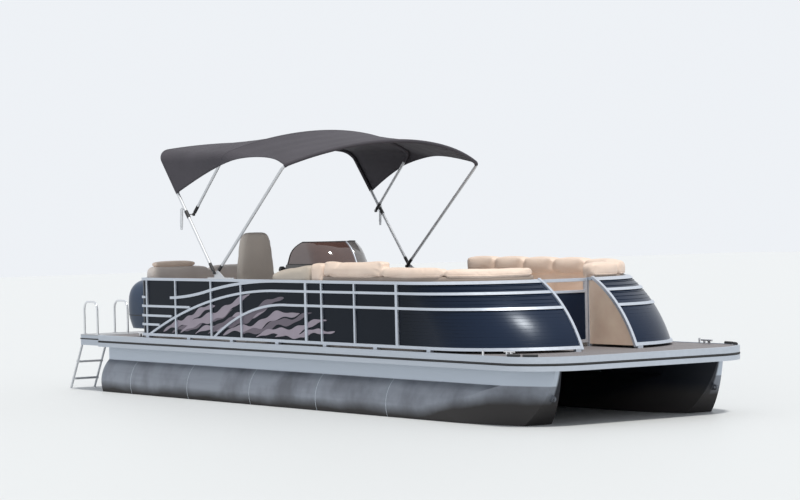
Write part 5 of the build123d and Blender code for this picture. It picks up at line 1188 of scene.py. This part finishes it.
for label, side, aft, seats in (("starboard", -1, 0.655, 4), ("port", 1, -0.035, 5)):
    seat_breaks = even_breaks(aft, bench_end(SEAT_MIDDLE) - 0.004, seats)
    seat_blocks = [(a, b, 0.890, 1.002) for a, b in zip(seat_breaks, seat_breaks[1:])]
    seat, held = bench_pads("seat_pads_" + label, side, SEAT_MIDDLE, (0.270, 0.722), seat_blocks)
    set_to_swell(seat, held, 0.020)
    PAD_SETS[seat] = ("lounge_seat_" + label, 0.8, vinyl_cream)

    vertices, faces = [], []
    back_place = bench_place(side, BACK_MIDDLE)
    roll_from, roll_edge = ROLL_SHAPE[label]
    for first, last, base, top in ROLLS[label]:
        span = (first + PAD_GAP / 2, last - PAD_GAP / 2)
        rounded_block(vertices, faces, back_place, span, (0.728, 0.800), (1.016, base + 0.030), 0.034)
        rounded_block(vertices, faces, back_place, span, (roll_from, 0.868), (base, top), roll_edge)
    for first, last, top in HEADRESTS[label]:
        rounded_block(vertices, faces, back_place, (first, last), (0.735, 0.856), (HEAD_BASE, top), 0.026)
    back = mesh_object("back_pads_" + label, vertices, faces)
    ends = [edge for block in ROLLS[label] for edge in block[:2]]

    def back_held(point, side=side, ends=ends):
        along = bench_along(side, BACK_MIDDLE, point)
        return 1.0 if point.z < 1.030 or min(abs(along - end) for end in ends) < 0.010 else 0.0

    set_to_swell(back, back_held, 0.016)
    PAD_SETS[back] = ("lounge_back_" + label, 0.85, vinyl_cream)

    board_vertices, board_faces = [], []
    board_span = (ROLLS[label][0][0], ROLLS[label][-1][1])
    rounded_block(
        board_vertices, board_faces, back_place, board_span, (0.806, 0.858), (1.016, ROLLS[label][0][2] + 0.010), 0.012
    )
    board = mesh_object("back_boards_" + label, board_vertices, board_faces)
    facing_out(board.data)
    BOARD_SET.append((board, "lounge_back_" + label))


# %% [markdown]
# The other pads are straight or nearly so. Where one tapers or slopes, the block is bent as its points are placed:
# the chair's back narrows to its shoulders, and the coaming beside the helm rises forward in a quarter of an ellipse.

# %% Straight, tapered and wedge-shaped pads
CHAIR_MID_Y = -0.790
CHAIR_WAIST_Z, CHAIR_HEAD_Z, CHAIR_NARROWING = 1.17, 1.745, 0.33
WEDGE_AFT_X, WEDGE_FRONT_X, WEDGE_Z, WEDGE_LOW = -0.295, 0.415, 1.190, 0.42


def straight_place(along, out, height):
    """Plain axes: along X, out to port, up."""
    return Vector((along, out, height))


def chair_place(along, out, height):
    """The chair's back: narrower from its waist to its head."""
    share = min(1.0, max(0.0, (height - CHAIR_WAIST_Z) / (CHAIR_HEAD_Z - CHAIR_WAIST_Z)))
    return Vector((along, CHAIR_MID_Y + (out - CHAIR_MID_Y) * (1 - CHAIR_NARROWING * share**1.5), height))


def wedge_place(along, out, height):
    """The coaming: its top rises forward in a quarter of an ellipse."""
    back = min(1.0, max(0.0, (WEDGE_FRONT_X - along) / (WEDGE_FRONT_X - WEDGE_AFT_X)))
    rise = WEDGE_LOW + (1 - WEDGE_LOW) * math.sqrt(1 - back**2)
    return Vector((along, out, WEDGE_Z + (height - WEDGE_Z) * rise))


def plain_pads(name, node, blocks, cap, fill, finish, edge=0.035, place=straight_place):
    """Pads made of blocks, held where they rest."""
    vertices, faces = [], []
    for along, out, height in blocks:
        rounded_block(vertices, faces, place, along, out, height, edge)
    pad = mesh_object(name, vertices, faces)
    floor_z = min(block[2][0] for block in blocks)
    set_to_swell(pad, lambda point: 1.0 if point.z < floor_z + 0.012 else 0.0, cap)
    PAD_SETS[pad] = (node, fill, finish)
    return pad


STERN_SPLITS = ((-1.185, -0.43), (-0.43, 0.32))
plain_pads(
    "stern_seat_pads",
    "stern_seat",
    [((-2.680, -2.275), (a + 0.003, b - 0.003), (0.890, 1.002)) for a, b in STERN_SPLITS],
    0.020,
    0.8,
    vinyl_cream,
)
# The stern back takes the paler copy of the beige: painted light.
plain_pads(
    "stern_back_pads",
    "stern_back",
    [((-2.835, -2.690), (a - 0.004, b - 0.003), (1.020, 1.388)) for a, b in STERN_SPLITS],
    0.018,
    0.75,
    vinyl_beige_painted_light,
)
plain_pads(
    "stern_head_pad",
    "stern_back",
    [((-2.812, -2.705), (-1.12, -0.62), (1.366, 1.420))],
    0.010,
    0.8,
    vinyl_cream,
    0.015,
)
plain_pads(
    "coaming_wedge",
    "coaming_pad",
    [((WEDGE_AFT_X, WEDGE_FRONT_X), (-1.185, -1.060), (WEDGE_Z, 1.400))],
    0.014,
    0.8,
    vinyl_taupe,
    0.045,
    wedge_place,
)
plain_pads(
    "coaming_block",
    "coaming_pad",
    [((0.425, 0.640), (-1.188, -1.056), (WEDGE_Z, 1.418))],
    0.014,
    0.8,
    vinyl_cream,
    0.04,
)
plain_pads(
    "chair_back_pad",
    "helm_chair",
    [((-1.262, -1.158), (-1.022, -0.558), (1.030, 1.738))],
    0.014,
    0.75,
    vinyl_beige,
    0.03,
    chair_place,
)
plain_pads(
    "chair_pads",
    "helm_chair",
    [
        ((-1.150, -0.785), (-1.030, -0.550), (0.905, 1.000)),
        ((-1.262, -1.155), (-1.022, -0.558), (0.900, 1.024)),
        ((-1.250, -0.950), (-1.036, -0.988), (1.030, 1.190)),
        ((-1.250, -0.950), (-0.592, -0.544), (1.030, 1.190)),
    ],
    0.012,
    0.7,
    vinyl_beige,
    0.02,
)
swell_all()
for pad in PAD_SETS:
    finish_pad(pad)
print("pads", {pad.name: len(pad.data.polygons) for pad in PAD_SETS})

# %% Each soft piece on its body
for pad, (node, fill, finish) in PAD_SETS.items():
    dressed(pad, finish)
    slot = "vinyl_cream" if finish is vinyl_cream else "vinyl_taupe"
    fit(pad, "chair" if node == "helm_chair" else "hull", slot, node)
# The boards take the brown of painted shade.
for board, node in BOARD_SET:
    soften = board.modifiers.new("soften", "SUBSURF")
    soften.levels = 1
    soften.render_levels = 1
    depsgraph = bpy.context.evaluated_depsgraph_get()
    board.data = bpy.data.meshes.new_from_object(board.evaluated_get(depsgraph))
    board.modifiers.clear()
    fit(dressed(board, vinyl_painted_shade), "hull", "vinyl_taupe", node)

# %% [markdown]
# Where two panels of vinyl meet, a cord of piping is sewn in, with a row of stitches beside it. Both have to lie on
# the swollen surface, which no formula gives. So each starts as a plain line near the pad, every point of it is moved
# to the nearest point of the surface, and then the trees turn the lines into piping and thread.

# %% Piping and stitches
PIPING_R = 0.0042
THREAD_R = 0.0011
STITCH_PITCH = 0.013
STITCH_STRETCH = 3.2


def on_surface(pad, points, proud=0.0):
    """Move points to the surface of a pad, and a little out of it."""
    tree = BVHTree.FromPolygons(
        [vertex.co for vertex in pad.data.vertices], [tuple(face.vertices) for face in pad.data.polygons]
    )
    moved = []
    for point in points:
        spot, normal, _, _ = tree.find_nearest(Vector(point))
        moved.append(spot + normal * proud)
    return moved


def along_bench(side, middle, first, last, out, height, step=0.02):
    """Points along a bench at one distance out and one height."""
    place = bench_place(side, middle)
    count = max(2, int((last - first) / step))
    return [place(first + (last - first) * k / count, out, height) for k in range(count + 1)]


by_name = {pad.name: pad for pad in PAD_SETS}
piping_lines, thread_lines = [], []
for label, side, aft in (("starboard", -1, 0.655), ("port", 1, -0.035)):
    roll = by_name["back_pads_" + label]
    for first, last, base, top in ROLLS[label]:
        for out in (0.718, 0.876):
            low = along_bench(side, BACK_MIDDLE, first + 0.03, last - 0.03, out, base + 0.016)
            piping_lines.append(on_surface(roll, low))
            above = along_bench(side, BACK_MIDDLE, first + 0.04, last - 0.04, out, base + 0.030)
            thread_lines.append(on_surface(roll, above, THREAD_R / 2))
    seat = by_name["seat_pads_" + label]
    seat_end = bench_end(SEAT_MIDDLE) - 0.03
    piping_lines.append(on_surface(seat, along_bench(side, SEAT_MIDDLE, aft + 0.02, seat_end, 0.262, 0.990)))
    thread_lines.append(
        on_surface(seat, along_bench(side, SEAT_MIDDLE, aft + 0.02, seat_end, 0.280, 1.020), THREAD_R / 2)
    )
piping = tubes("bench_piping", piping_lines, PIPING_R, vinyl_cream, sides=6)
fit(piping, "hull", "vinyl_cream")
stitching = studs("bench_stitches", thread_lines, STITCH_PITCH, THREAD_R, thread, STITCH_STRETCH)
fit(stitching, "hull", "vinyl_cream")
print("piping", len(piping.data.polygons), "stitches", len(stitching.data.polygons))

# %% [markdown]
# The windscreen is one sheet of acrylic bent in plan and drawn back as it rises, so that it looks like a visor. Each
# level of it is the same U with its own size. Three polynomials give the draw of each level from the four levels
# known from the frame, and many thin rings between them make the curve smooth. Most of it is bronze, and the part
# inboard of the seam is paler.

# %% The screen's U at any height
SCREEN_FOOT_Z, SCREEN_TALL, SCREEN_SHEET = 1.400, 0.222, 0.006
SCREEN_AFT_X, SCREEN_FRONT_X, SCREEN_HALF, SCREEN_BEND, HELM_MID_Y = -0.210, 0.456, 0.316, 0.240, -0.720
LEVEL_SHARES = (0.0, 0.4, 0.78, 1.0)
screen_aft = np.polynomial.Polynomial.fit(LEVEL_SHARES, (0.0, 0.040, 0.120, 0.230), 3)
screen_rake = np.polynomial.Polynomial.fit(LEVEL_SHARES, (0.0, 0.050, 0.120, 0.190), 3)
screen_lean = np.polynomial.Polynomial.fit(LEVEL_SHARES, (0.0, 0.006, 0.020, 0.036), 3)
SIDE_COLUMNS, BEND_COLUMNS, FRONT_COLUMNS = 14, 14, 6
SCREEN_RINGS = 16


def screen_line(share, inset):
    """Points of the U from the starboard aft edge round the front to the port one."""
    aft = SCREEN_AFT_X + screen_aft(share)
    reach = SCREEN_FRONT_X - screen_rake(share) - inset
    half = SCREEN_HALF - screen_lean(share) - inset
    bend = SCREEN_BEND - screen_lean(share) - inset
    height = SCREEN_FOOT_Z + SCREEN_TALL * share
    starboard = [Vector((aft + (reach - bend - aft) * k / SIDE_COLUMNS, -half, height)) for k in range(SIDE_COLUMNS)]
    for k in range(BEND_COLUMNS + 1):
        angle = math.pi / 2 * k / BEND_COLUMNS
        starboard.append(Vector((reach - bend + bend * math.sin(angle), -half + bend - bend * math.cos(angle), height)))
    port = [Vector((point.x, -point.y, point.z)) for point in starboard[::-1]]
    front_from, front_to = starboard[-1], port[0]
    across = [front_from.lerp(front_to, k / FRONT_COLUMNS) for k in range(1, FRONT_COLUMNS)]
    return [Vector((point.x, HELM_MID_Y + point.y, point.z)) for point in starboard + across + port]


def screen_part(name, first, last, finish):
    """A closed shell over some of the screen's columns."""
    vertices, faces = [], []
    width = last - first + 1
    for inset in (0.0, SCREEN_SHEET):
        for ring_index in range(SCREEN_RINGS + 1):
            vertices += screen_line(ring_index / SCREEN_RINGS, inset)[first : last + 1]
    sheet_size = width * (SCREEN_RINGS + 1)
    for layer in (0, sheet_size):
        for r in range(SCREEN_RINGS):
            for c in range(width - 1):
                a = layer + r * width + c
                faces.append((a, a + 1, a + 1 + width, a + width))
    rim = [c for c in range(width)]
    rim += [r * width + width - 1 for r in range(1, SCREEN_RINGS + 1)]
    rim += [SCREEN_RINGS * width + c for c in range(width - 2, -1, -1)]
    rim += [r * width for r in range(SCREEN_RINGS - 1, 0, -1)]
    for a, b in zip(rim, rim[1:] + rim[:1]):
        faces.append((a, b, b + sheet_size, a + sheet_size))
    shell = mesh_object(name, vertices, faces)
    facing_out(shell.data)
    return dressed(shell, finish)


seam_column = SIDE_COLUMNS + BEND_COLUMNS + FRONT_COLUMNS
last_column = len(screen_line(0, 0)) - 1
fit(screen_part("screen_bronze_sheet", 0, seam_column, screen_bronze), "hull", "screen_bronze", "windscreen")
fit(screen_part("screen_smoke_sheet", seam_column, last_column, screen_smoke), "hull", "screen_bronze", "windscreen")

levels = [screen_line(k / SCREEN_RINGS, SCREEN_SHEET / 2) for k in range(SCREEN_RINGS + 1)]
top_edge = levels[-1]
trim_line = [level[0] for level in levels[:-1]] + top_edge + [level[-1] for level in levels[-2::-1]]
foot_line = levels[0]
trim = merged(
    "screen_trim",
    [
        tubes("trim", [trim_line], 0.0065, rubber_black, sides=8),
        tubes("foot", [foot_line], 0.008, rubber_black, sides=8),
        tubes("seam", [[level[seam_column] for level in levels]], 0.007, rail_metal, sides=8),
    ],
)
fit(trim, "hull", "panel_navy")
print("screen columns", last_column + 1)

# %% [markdown]
# A gate leaf is a welded frame of square tube with a thin panel let in and strips that carry the fence's rail lines
# across. The frame is one closed ring of faces, rounded by a Bevel, and the panel is a sheet of its own, so that each
# has its own finish. The bow leaf is left open above its strip, as in the photograph.

# %% Gate leaves
GATE_BAR, GATE_SHEET, GATE_STRIP = 0.030, 0.012, 0.024
GATE_LOW, GATE_HIGH = 0.652, 1.252
HINGE_ZS, HINGE_TALL, HINGE_RADIUS, HINGE_REACH, STRAP_LONG = (0.760, 1.080), 0.060, 0.009, 0.010, 0.026


def ring_faces(start):
    """Faces of a rectangular ring: outer and inner corners in front, then the same behind."""
    faces = []
    for k in range(4):
        n = (k + 1) % 4
        outer, outer_next, inner, inner_next = start + k, start + n, start + 4 + k, start + 4 + n
        faces.append((outer, outer_next, inner_next, inner))
        faces.append((outer + 8, inner + 8, inner_next + 8, outer_next + 8))
        faces.append((outer, outer + 8, outer_next + 8, outer_next))
        faces.append((inner, inner_next, inner_next + 8, inner + 8))
    return faces


def box_into(vertices, faces, low, high):
    """Add a box between two corners."""
    start = len(vertices)
    for x in (low[0], high[0]):
        for y in (low[1], high[1]):
            for z in (low[2], high[2]):
                vertices.append(Vector((x, y, z)))
    for face in ((0, 1, 3, 2), (4, 6, 7, 5), (0, 4, 5, 1), (2, 3, 7, 6), (0, 2, 6, 4), (1, 5, 7, 3)):
        faces.append(tuple(start + k for k in face))


def eased(piece, width=0.002, segments=2):
    """Round a piece's edges with a Bevel and keep the result."""
    facing_out(piece.data)
    bevel = piece.modifiers.new("ease", "BEVEL")
    bevel.width = width
    bevel.segments = segments
    bevel.limit_method = "ANGLE"
    depsgraph = bpy.context.evaluated_depsgraph_get()
    piece.data = bpy.data.meshes.new_from_object(piece.evaluated_get(depsgraph))
    piece.modifiers.clear()
    return piece


def gate(name, body, place, across, strips, sheet_from, hinge, strap, towards):
    """A leaf: place maps across, up and through; hinge is its axis, strap and towards point to the leaf."""
    vertices, faces = [], []
    u0, u1 = across
    for w in (-GATE_BAR / 2, GATE_BAR / 2):
        for inset in (0.0, GATE_BAR):
            low, high = GATE_LOW + inset, GATE_HIGH - inset
            corners = ((u0 + inset, low), (u1 - inset, low), (u1 - inset, high), (u0 + inset, high))
            vertices += [place(u, v, w) for u, v in corners]
    faces += ring_faces(0)
    for z in strips:
        a = place(u0 + GATE_BAR, z - GATE_STRIP / 2, -GATE_BAR / 2)
        b = place(u1 - GATE_BAR, z + GATE_STRIP / 2, GATE_BAR / 2)
        box_into(vertices, faces, a, b)
    for z in HINGE_ZS:
        x0, x1 = sorted((hinge[0], hinge[0] + strap[0] * STRAP_LONG + towards[0] * HINGE_REACH))
        y0, y1 = sorted((hinge[1], hinge[1] + strap[1] * STRAP_LONG + towards[1] * HINGE_REACH))
        box_into(vertices, faces, (x0, y0, z), (x1, y1, z + HINGE_TALL))
    frame_piece = dressed(eased(mesh_object(name + "_bars", vertices, faces)), rail_metal, False)
    barrels = [[(hinge[0], hinge[1], z), (hinge[0], hinge[1], z + HINGE_TALL)] for z in HINGE_ZS]
    barrel_piece = tubes(name + "_barrels", barrels, HINGE_RADIUS, rail_metal, sides=16)
    leaf = merged(name + "_frame", [frame_piece, barrel_piece])
    fit(leaf, body, "rail_aluminium", name)
    vertices, faces = [], []
    low = place(u0 + GATE_BAR - 0.004, GATE_LOW + GATE_BAR - 0.004, -GATE_SHEET / 2)
    high = place(u1 - GATE_BAR + 0.004, sheet_from, GATE_SHEET / 2)
    box_into(vertices, faces, low, high)
    panel = dressed(eased(mesh_object(name + "_panel", vertices, faces), 0.001, 1), navy, False)
    fit(panel, body, "panel_navy", name)


FULL = GATE_HIGH - GATE_BAR + 0.004
gate(
    "bow_gate", "bow_gate", lambda u, v, w: Vector((2.869 + w, u, v)), (-0.292, 0.292), (1.130,), 1.130,
    (2.844, -0.296), (0, 1), (1, 0),
)
gate(
    "side_gate", "side_gate", lambda u, v, w: Vector((u, 1.218 + w, v)), (-0.842, -0.158), (1.148, 1.010), FULL,
    (-0.154, 1.193), (-1, 0), (0, 1),
)
gate(
    "stern_gate", "stern_gate", lambda u, v, w: Vector((-2.868 + w, u, v)), (0.428, 1.032), (1.051, 0.856), FULL,
    (-2.843, 0.424), (0, 1), (-1, 0),
)
print("gates ready")

# %% [markdown]
# The fence's panels are pressed with fine level ribs where they turn in to the bow. Each rib is a line at one height
# that runs along the side and round the corner. The corner's own radius is the same at all heights, but its centre
# moves aft as the bow rakes back, along a circle through three points of the gate's edge.

# %% The fence's raked corner as lines
FENCE_MID_Y, PANEL_OUT, RAKE_SETBACK = 0.330, 0.897, 0.913
RAKE_POINTS = ((3.550, 0.640), (3.300, 1.000), (2.940, 1.258))


def circle_through(a, b, c):
    """Centre and radius of the circle through three points."""
    matrix = np.array([[2 * (b[0] - a[0]), 2 * (b[1] - a[1])], [2 * (c[0] - a[0]), 2 * (c[1] - a[1])]])
    squares = [p[0] ** 2 + p[1] ** 2 for p in (a, b, c)]
    centre = np.linalg.solve(matrix, np.array([squares[1] - squares[0], squares[2] - squares[0]]))
    return centre, math.hypot(a[0] - centre[0], a[1] - centre[1])


rake_centre, rake_radius = circle_through(*RAKE_POINTS)


def fence_line(height, from_x, out=0.0, turn_end=88):
    """Starboard line on the panels' face: along the side, then round the raked corner."""
    end_x = rake_centre[0] + math.sqrt(rake_radius**2 - (height - rake_centre[1]) ** 2)
    centre_x = end_x - RAKE_SETBACK
    reach = PANEL_OUT + out
    line = [Vector((x, -FENCE_MID_Y - reach, height)) for x in np.linspace(from_x, centre_x, 6)[:-1]]
    for angle in np.radians(np.linspace(0, turn_end, 30)):
        line.append(Vector((centre_x + reach * math.sin(angle), -FENCE_MID_Y - reach * math.cos(angle), height)))
    return line


RIB_R, RIB_PITCH, RIB_LOW, RIB_HIGH, RIB_FROM_X = 0.0026, 0.032, 0.700, 1.225, 2.00
RAIL_HEIGHTS, RAIL_CLEAR = (1.148, 1.010), 0.018
rib_heights = np.arange(RIB_LOW, RIB_HIGH, RIB_PITCH)
rib_heights = [z for z in rib_heights if min(abs(z - rail) for rail in RAIL_HEIGHTS) > RAIL_CLEAR]
rib_lines = [line for z in rib_heights for line in both_sides(fence_line(z, RIB_FROM_X))]
ribs = tubes("bow_panel_ribs", rib_lines, RIB_R, navy, sides=6)
fit(ribs, "hull", "panel_navy")
print("ribs", len(rib_lines))

# %% [markdown]
# The starboard panels carry a printed band of slanted strokes, wide at the waist and worn to a point at both ends.
# It is a plain pattern made here from a few sine waves, in two mauve greys. Each stroke is a row of thin quads that
# is cut off under the curved rail, so that it never shows above it.

# %% Printed strokes
STROKE_FACE_Y, STROKE_SHEET, STROKE_STEP_OUT = -1.2272, 0.0003, 0.0004
RAIL_FALL = ((-2.650, 0.655), (-1.374, 1.028), (-0.200, 1.148))
STROKE_MARGIN, STROKE_FLOOR, STROKE_STEPS = 0.020, 0.674, 60
fall_centre, fall_radius = circle_through(*RAIL_FALL)
# start and end as x and z, widest half width, wave height, waves, finish
STROKES = (
    (-2.38, 0.69, -1.30, 0.99, 0.036, 0.016, 1.6, "pale"),
    (-2.20, 0.68, -0.96, 0.93, 0.030, 0.022, 2.2, "dark"),
    (-2.02, 0.69, -0.62, 1.09, 0.044, 0.020, 1.3, "pale"),
    (-1.72, 0.68, -0.30, 0.97, 0.034, 0.026, 2.0, "pale"),
    (-1.46, 0.69, 0.02, 1.08, 0.046, 0.022, 1.5, "dark"),
    (-1.16, 0.68, 0.30, 0.96, 0.040, 0.028, 1.8, "pale"),
    (-0.82, 0.69, 0.52, 0.93, 0.032, 0.018, 2.4, "dark"),
    (-0.52, 0.68, 0.78, 0.86, 0.034, 0.024, 1.4, "pale"),
    (-0.16, 0.69, 0.92, 0.78, 0.024, 0.016, 1.9, "pale"),
)


def under_rail(x):
    """The highest a stroke may reach at a place along the side."""
    if x >= RAIL_FALL[2][0]:
        return RAIL_FALL[2][1] - STROKE_MARGIN
    return fall_centre[1] + math.sqrt(max(0.0, fall_radius**2 - (x - fall_centre[0]) ** 2)) - STROKE_MARGIN


def stroke_points(stroke):
    """Upper and lower edge of one stroke."""
    x0, z0, x1, z1, half, height, waves, _ = stroke
    upper, lower = [], []
    for k in range(STROKE_STEPS + 1):
        t = k / STROKE_STEPS
        x = x0 + (x1 - x0) * t
        middle = z0 + (z1 - z0) * t + height * math.sin(2 * math.pi * waves * t)
        wide = half * math.sin(math.pi * t) ** 0.6 * (1 + 0.35 * math.sin(9 * math.pi * t + 5 * x0)) + 0.0004
        middle = max(STROKE_FLOOR + wide, min(under_rail(x) - wide, middle))
        upper.append((x, middle + wide))
        lower.append((x, middle - wide))
    return upper, lower


for shade, finish in (("pale", band_pale), ("dark", band_dark)):
    vertices, faces = [], []
    for number, stroke in enumerate(STROKES):
        if stroke[-1] != shade:
            continue
        upper, lower = stroke_points(stroke)
        start = len(vertices)
        out = STROKE_STEP_OUT * number
        for depth in (0.0, STROKE_SHEET):
            for edge in (lower, upper):
                vertices += [Vector((x, STROKE_FACE_Y - out - depth, z)) for x, z in edge]
        row = STROKE_STEPS + 1
        for k in range(STROKE_STEPS):
            a, b, c, d = (start + n * row + k for n in range(4))
            faces += [(a, a + 1, b + 1, b), (c, d, d + 1, c + 1), (a, c, c + 1, a + 1), (b, b + 1, d + 1, d)]
        for k in (0, STROKE_STEPS):
            a, b, c, d = (start + n * row + k for n in range(4))
            faces.append((a, b, d, c))
    strokes = mesh_object("printed_strokes_" + shade, vertices, faces)
    facing_out(strokes.data)
    fit(dressed(strokes, finish, False), "hull", "panel_navy")
print("strokes", len(STROKES))

# %% [markdown]
# A rubber strip lies in the groove of the rub rail, and screws hold the bright band above it. Both follow the deck's
# edge, straight along each side and round the two bow corners, so one line set in by a different amount serves both.
# The last lines are the hull's welds: hoops round each tube, and one bead along each knee.

# %% Rub rail, screws and welds
DECK_HALF, DECK_BOW_X, DECK_AFT, DECK_CORNER = 1.295, 4.173, -3.700, 0.520
GROOVE_Z, INSERT_R, SCREW_Z, SCREW_PITCH, SCREW_R = 0.551, 0.0105, 0.592, 0.30, 0.0055


def deck_line(inset, height):
    """The deck's edge from the starboard quarter round the bow to the port quarter."""
    centre_x, centre_y = DECK_BOW_X - DECK_CORNER, DECK_HALF - DECK_CORNER
    reach = DECK_CORNER - inset
    starboard = [Vector((x, -DECK_HALF + inset, height)) for x in np.linspace(DECK_AFT, centre_x, 20)[:-1]]
    for angle in np.radians(np.linspace(0, 90, 16)):
        starboard.append(Vector((centre_x + reach * math.sin(angle), -centre_y - reach * math.cos(angle), height)))
    port = [Vector((point.x, -point.y, point.z)) for point in starboard[::-1]]
    return starboard + port


insert = tubes("rub_insert", [deck_line(0.0075, GROOVE_Z)], INSERT_R, rubber_black, sides=10)
fit(insert, "hull", "rub_band")
PLATFORM_AFT, PLATFORM_CORNER, PLATFORM_GROOVE_Z, PLATFORM_STRIP_R = -4.173, 0.090, 0.574, 0.007
platform_edge = [Vector((DECK_AFT, -DECK_HALF, PLATFORM_GROOVE_Z))]
for angle in np.radians(np.linspace(0, 90, 8)):
    platform_edge.append(
        Vector(
            (
                PLATFORM_AFT + PLATFORM_CORNER * (1 - math.sin(angle)),
                -DECK_HALF + PLATFORM_CORNER * (1 - math.cos(angle)),
                PLATFORM_GROOVE_Z,
            )
        )
    )
platform_edge.append(Vector((PLATFORM_AFT, -0.36, PLATFORM_GROOVE_Z)))
platform_strip = tubes("platform_strip", both_sides(platform_edge), PLATFORM_STRIP_R, rubber_black, sides=8)
fit(platform_strip, "hull", "rub_band")
screws = studs("rub_screws", [deck_line(0.004, SCREW_Z)], SCREW_PITCH, SCREW_R, bright_metal, 1.0)
fit(screws, "hull", "rail_aluminium")

TUBE_MID_Y, TUBE_MID_Z, TUBE_OUT, KNEE_HALF, KNEE_Z = 0.936, 0.110, 0.330, 0.225, 0.351
WELD_XS, WELD_R = (-3.05, -1.85, -0.62, 0.60, 1.80), 0.0026
knee_angle = math.degrees(math.atan2(KNEE_Z - TUBE_MID_Z, KNEE_HALF))
weld_lines = []
for x in WELD_XS:
    turn = np.radians(np.linspace(knee_angle, knee_angle - 180 - 2 * knee_angle, 30))
    hoop = [Vector((x, -TUBE_MID_Y - TUBE_OUT * math.cos(a), TUBE_MID_Z + TUBE_OUT * math.sin(a))) for a in turn]
    weld_lines += both_sides(hoop)
for offset in (-KNEE_HALF, KNEE_HALF):
    weld_lines += both_sides([(-3.60, -TUBE_MID_Y + offset, KNEE_Z), (2.55, -TUBE_MID_Y + offset, KNEE_Z)])
welds = tubes("hull_welds", weld_lines, WELD_R, rail_metal, sides=6)
fit(welds, "hull", "tube_aluminium")
print("welds", len(weld_lines))

# %% Fender strips and rod sockets on the bow corners
FENDER_Z, FENDER_INSET, FENDER_R, SOCKET_X, SOCKET_TALL, SOCKET_R = 0.630, 0.030, 0.013, 3.33, 0.045, 0.011
corner_x, corner_y, corner_reach = DECK_BOW_X - DECK_CORNER, DECK_HALF - DECK_CORNER, DECK_CORNER - FENDER_INSET
fender_lines = []
for first, last in ((4, 20), (24, 40)):
    arc = np.radians(np.linspace(first, last, 8))
    fender_lines += both_sides(
        [(corner_x + corner_reach * math.sin(a), -corner_y - corner_reach * math.cos(a), FENDER_Z) for a in arc]
    )
fenders = tubes("bow_fender_strips", fender_lines, FENDER_R, rubber_black, sides=10)
fit(fenders, "hull", "panel_navy")
socket_y = -DECK_HALF + FENDER_INSET
sockets = tubes(
    "rod_sockets",
    both_sides([(SOCKET_X, socket_y, 0.618), (SOCKET_X, socket_y, 0.618 + SOCKET_TALL)]),
    SOCKET_R,
    bright_metal,
)
fit(sockets, "hull", "rail_aluminium")

# %% [markdown]
# The outboard's cowl is a moulded shell with no flat on it. Its rings are superellipses, the rounded rectangles that
# such housings have, that swell to the shoulder and close over the top in a dome. A band of black rubber marks the
# seam where the cowl lifts off its tray.

# %% Motor cowl
COWL_LOW, COWL_TALL, COWL_MID_X, COWL_LONG, COWL_WIDE = 0.625, 0.570, -4.695, 0.343, 0.235
COWL_SHOULDER, COWL_POWER, COWL_RINGS, COWL_AROUND, COWL_SWEEP = 0.35, 3.4, 40, 56, 0.016
COWL_SEAM_SHARE = 0.27


def cowl_ring(share):
    """One ring of the cowl at a share of its height."""
    if share <= COWL_SHOULDER:
        size = 0.86 + 0.14 * math.sin(math.pi / 2 * share / COWL_SHOULDER)
    else:
        size = (1 - ((share - COWL_SHOULDER) / (1 - COWL_SHOULDER)) ** 3.4) ** 0.40
    points = []
    for k in range(COWL_AROUND):
        angle = 2 * math.pi * k / COWL_AROUND
        c, s = math.cos(angle), math.sin(angle)
        along = math.copysign(abs(c) ** (2 / COWL_POWER), c) * COWL_LONG * size
        across = math.copysign(abs(s) ** (2 / COWL_POWER), s) * COWL_WIDE * size
        points.append(Vector((COWL_MID_X - COWL_SWEEP * share + along, across, COWL_LOW + COWL_TALL * share)))
    return points


shares = [1 - (1 - k / COWL_RINGS) ** 1.6 for k in range(COWL_RINGS)] + [0.9995]
vertices = [point for share in shares for point in cowl_ring(share)]
faces = []
for r in range(len(shares) - 1):
    for k in range(COWL_AROUND):
        n = (k + 1) % COWL_AROUND
        faces.append((r * COWL_AROUND + k, r * COWL_AROUND + n, (r + 1) * COWL_AROUND + n, (r + 1) * COWL_AROUND + k))
last = (len(shares) - 1) * COWL_AROUND
faces.append(tuple(range(COWL_AROUND)))
faces.append(tuple(range(last, last + COWL_AROUND)))
cowl = mesh_object("cowl_shell", vertices, faces)
facing_out(cowl.data)
fit(dressed(cowl, cowl_navy), "motor", "motor_navy", "motor_cowl")
seam = tubes("cowl_seam", [cowl_ring(COWL_SEAM_SHARE)], 0.0045, rubber_black, closed=True, sides=8)
fit(seam, "motor", "motor_black")
print("cowl", len(cowl.data.polygons))

# %% [markdown]
# The dash has three round dials behind bright rings. Their faces are plain, with one pointer each.

# %% Dash dials
DASH_LOW, DASH_HIGH = Vector((-0.330, 0, 1.190)), Vector((-0.210, 0, 1.400))
DIAL_YS, DIAL_R, DIAL_SHARE = (-0.520, -0.620, -0.985), 0.034, 0.62
dash_up = (DASH_HIGH - DASH_LOW).normalized()
dash_out = Vector((-dash_up.z, 0, dash_up.x))
rings, faces_lines, pointers = [], [], []
for y in DIAL_YS:
    centre = DASH_LOW.lerp(DASH_HIGH, DIAL_SHARE) + Vector((0, y, 0))
    circle = []
    for k in range(28):
        angle = 2 * math.pi * k / 28
        circle.append(centre + dash_up * DIAL_R * math.cos(angle) + Vector((0, DIAL_R * math.sin(angle), 0)))
    rings.append(circle)
    faces_lines.append([centre - dash_out * 0.002, centre + dash_out * 0.0025])
    tip = dash_up * 0.022 + Vector((0, 0.012, 0))
    pointers.append([centre + dash_out * 0.004, centre + dash_out * 0.004 + tip])
dials = merged(
    "dash_dials",
    [
        tubes("rings", rings, 0.004, bright_metal, closed=True, sides=8),
        tubes("dials", faces_lines, DIAL_R, dial_white, sides=28),
        tubes("pointers", pointers, 0.0012, rubber_black, sides=6),
    ],
)
fit(dials, "hull", "console_shell")
print("dials", len(DIAL_YS))
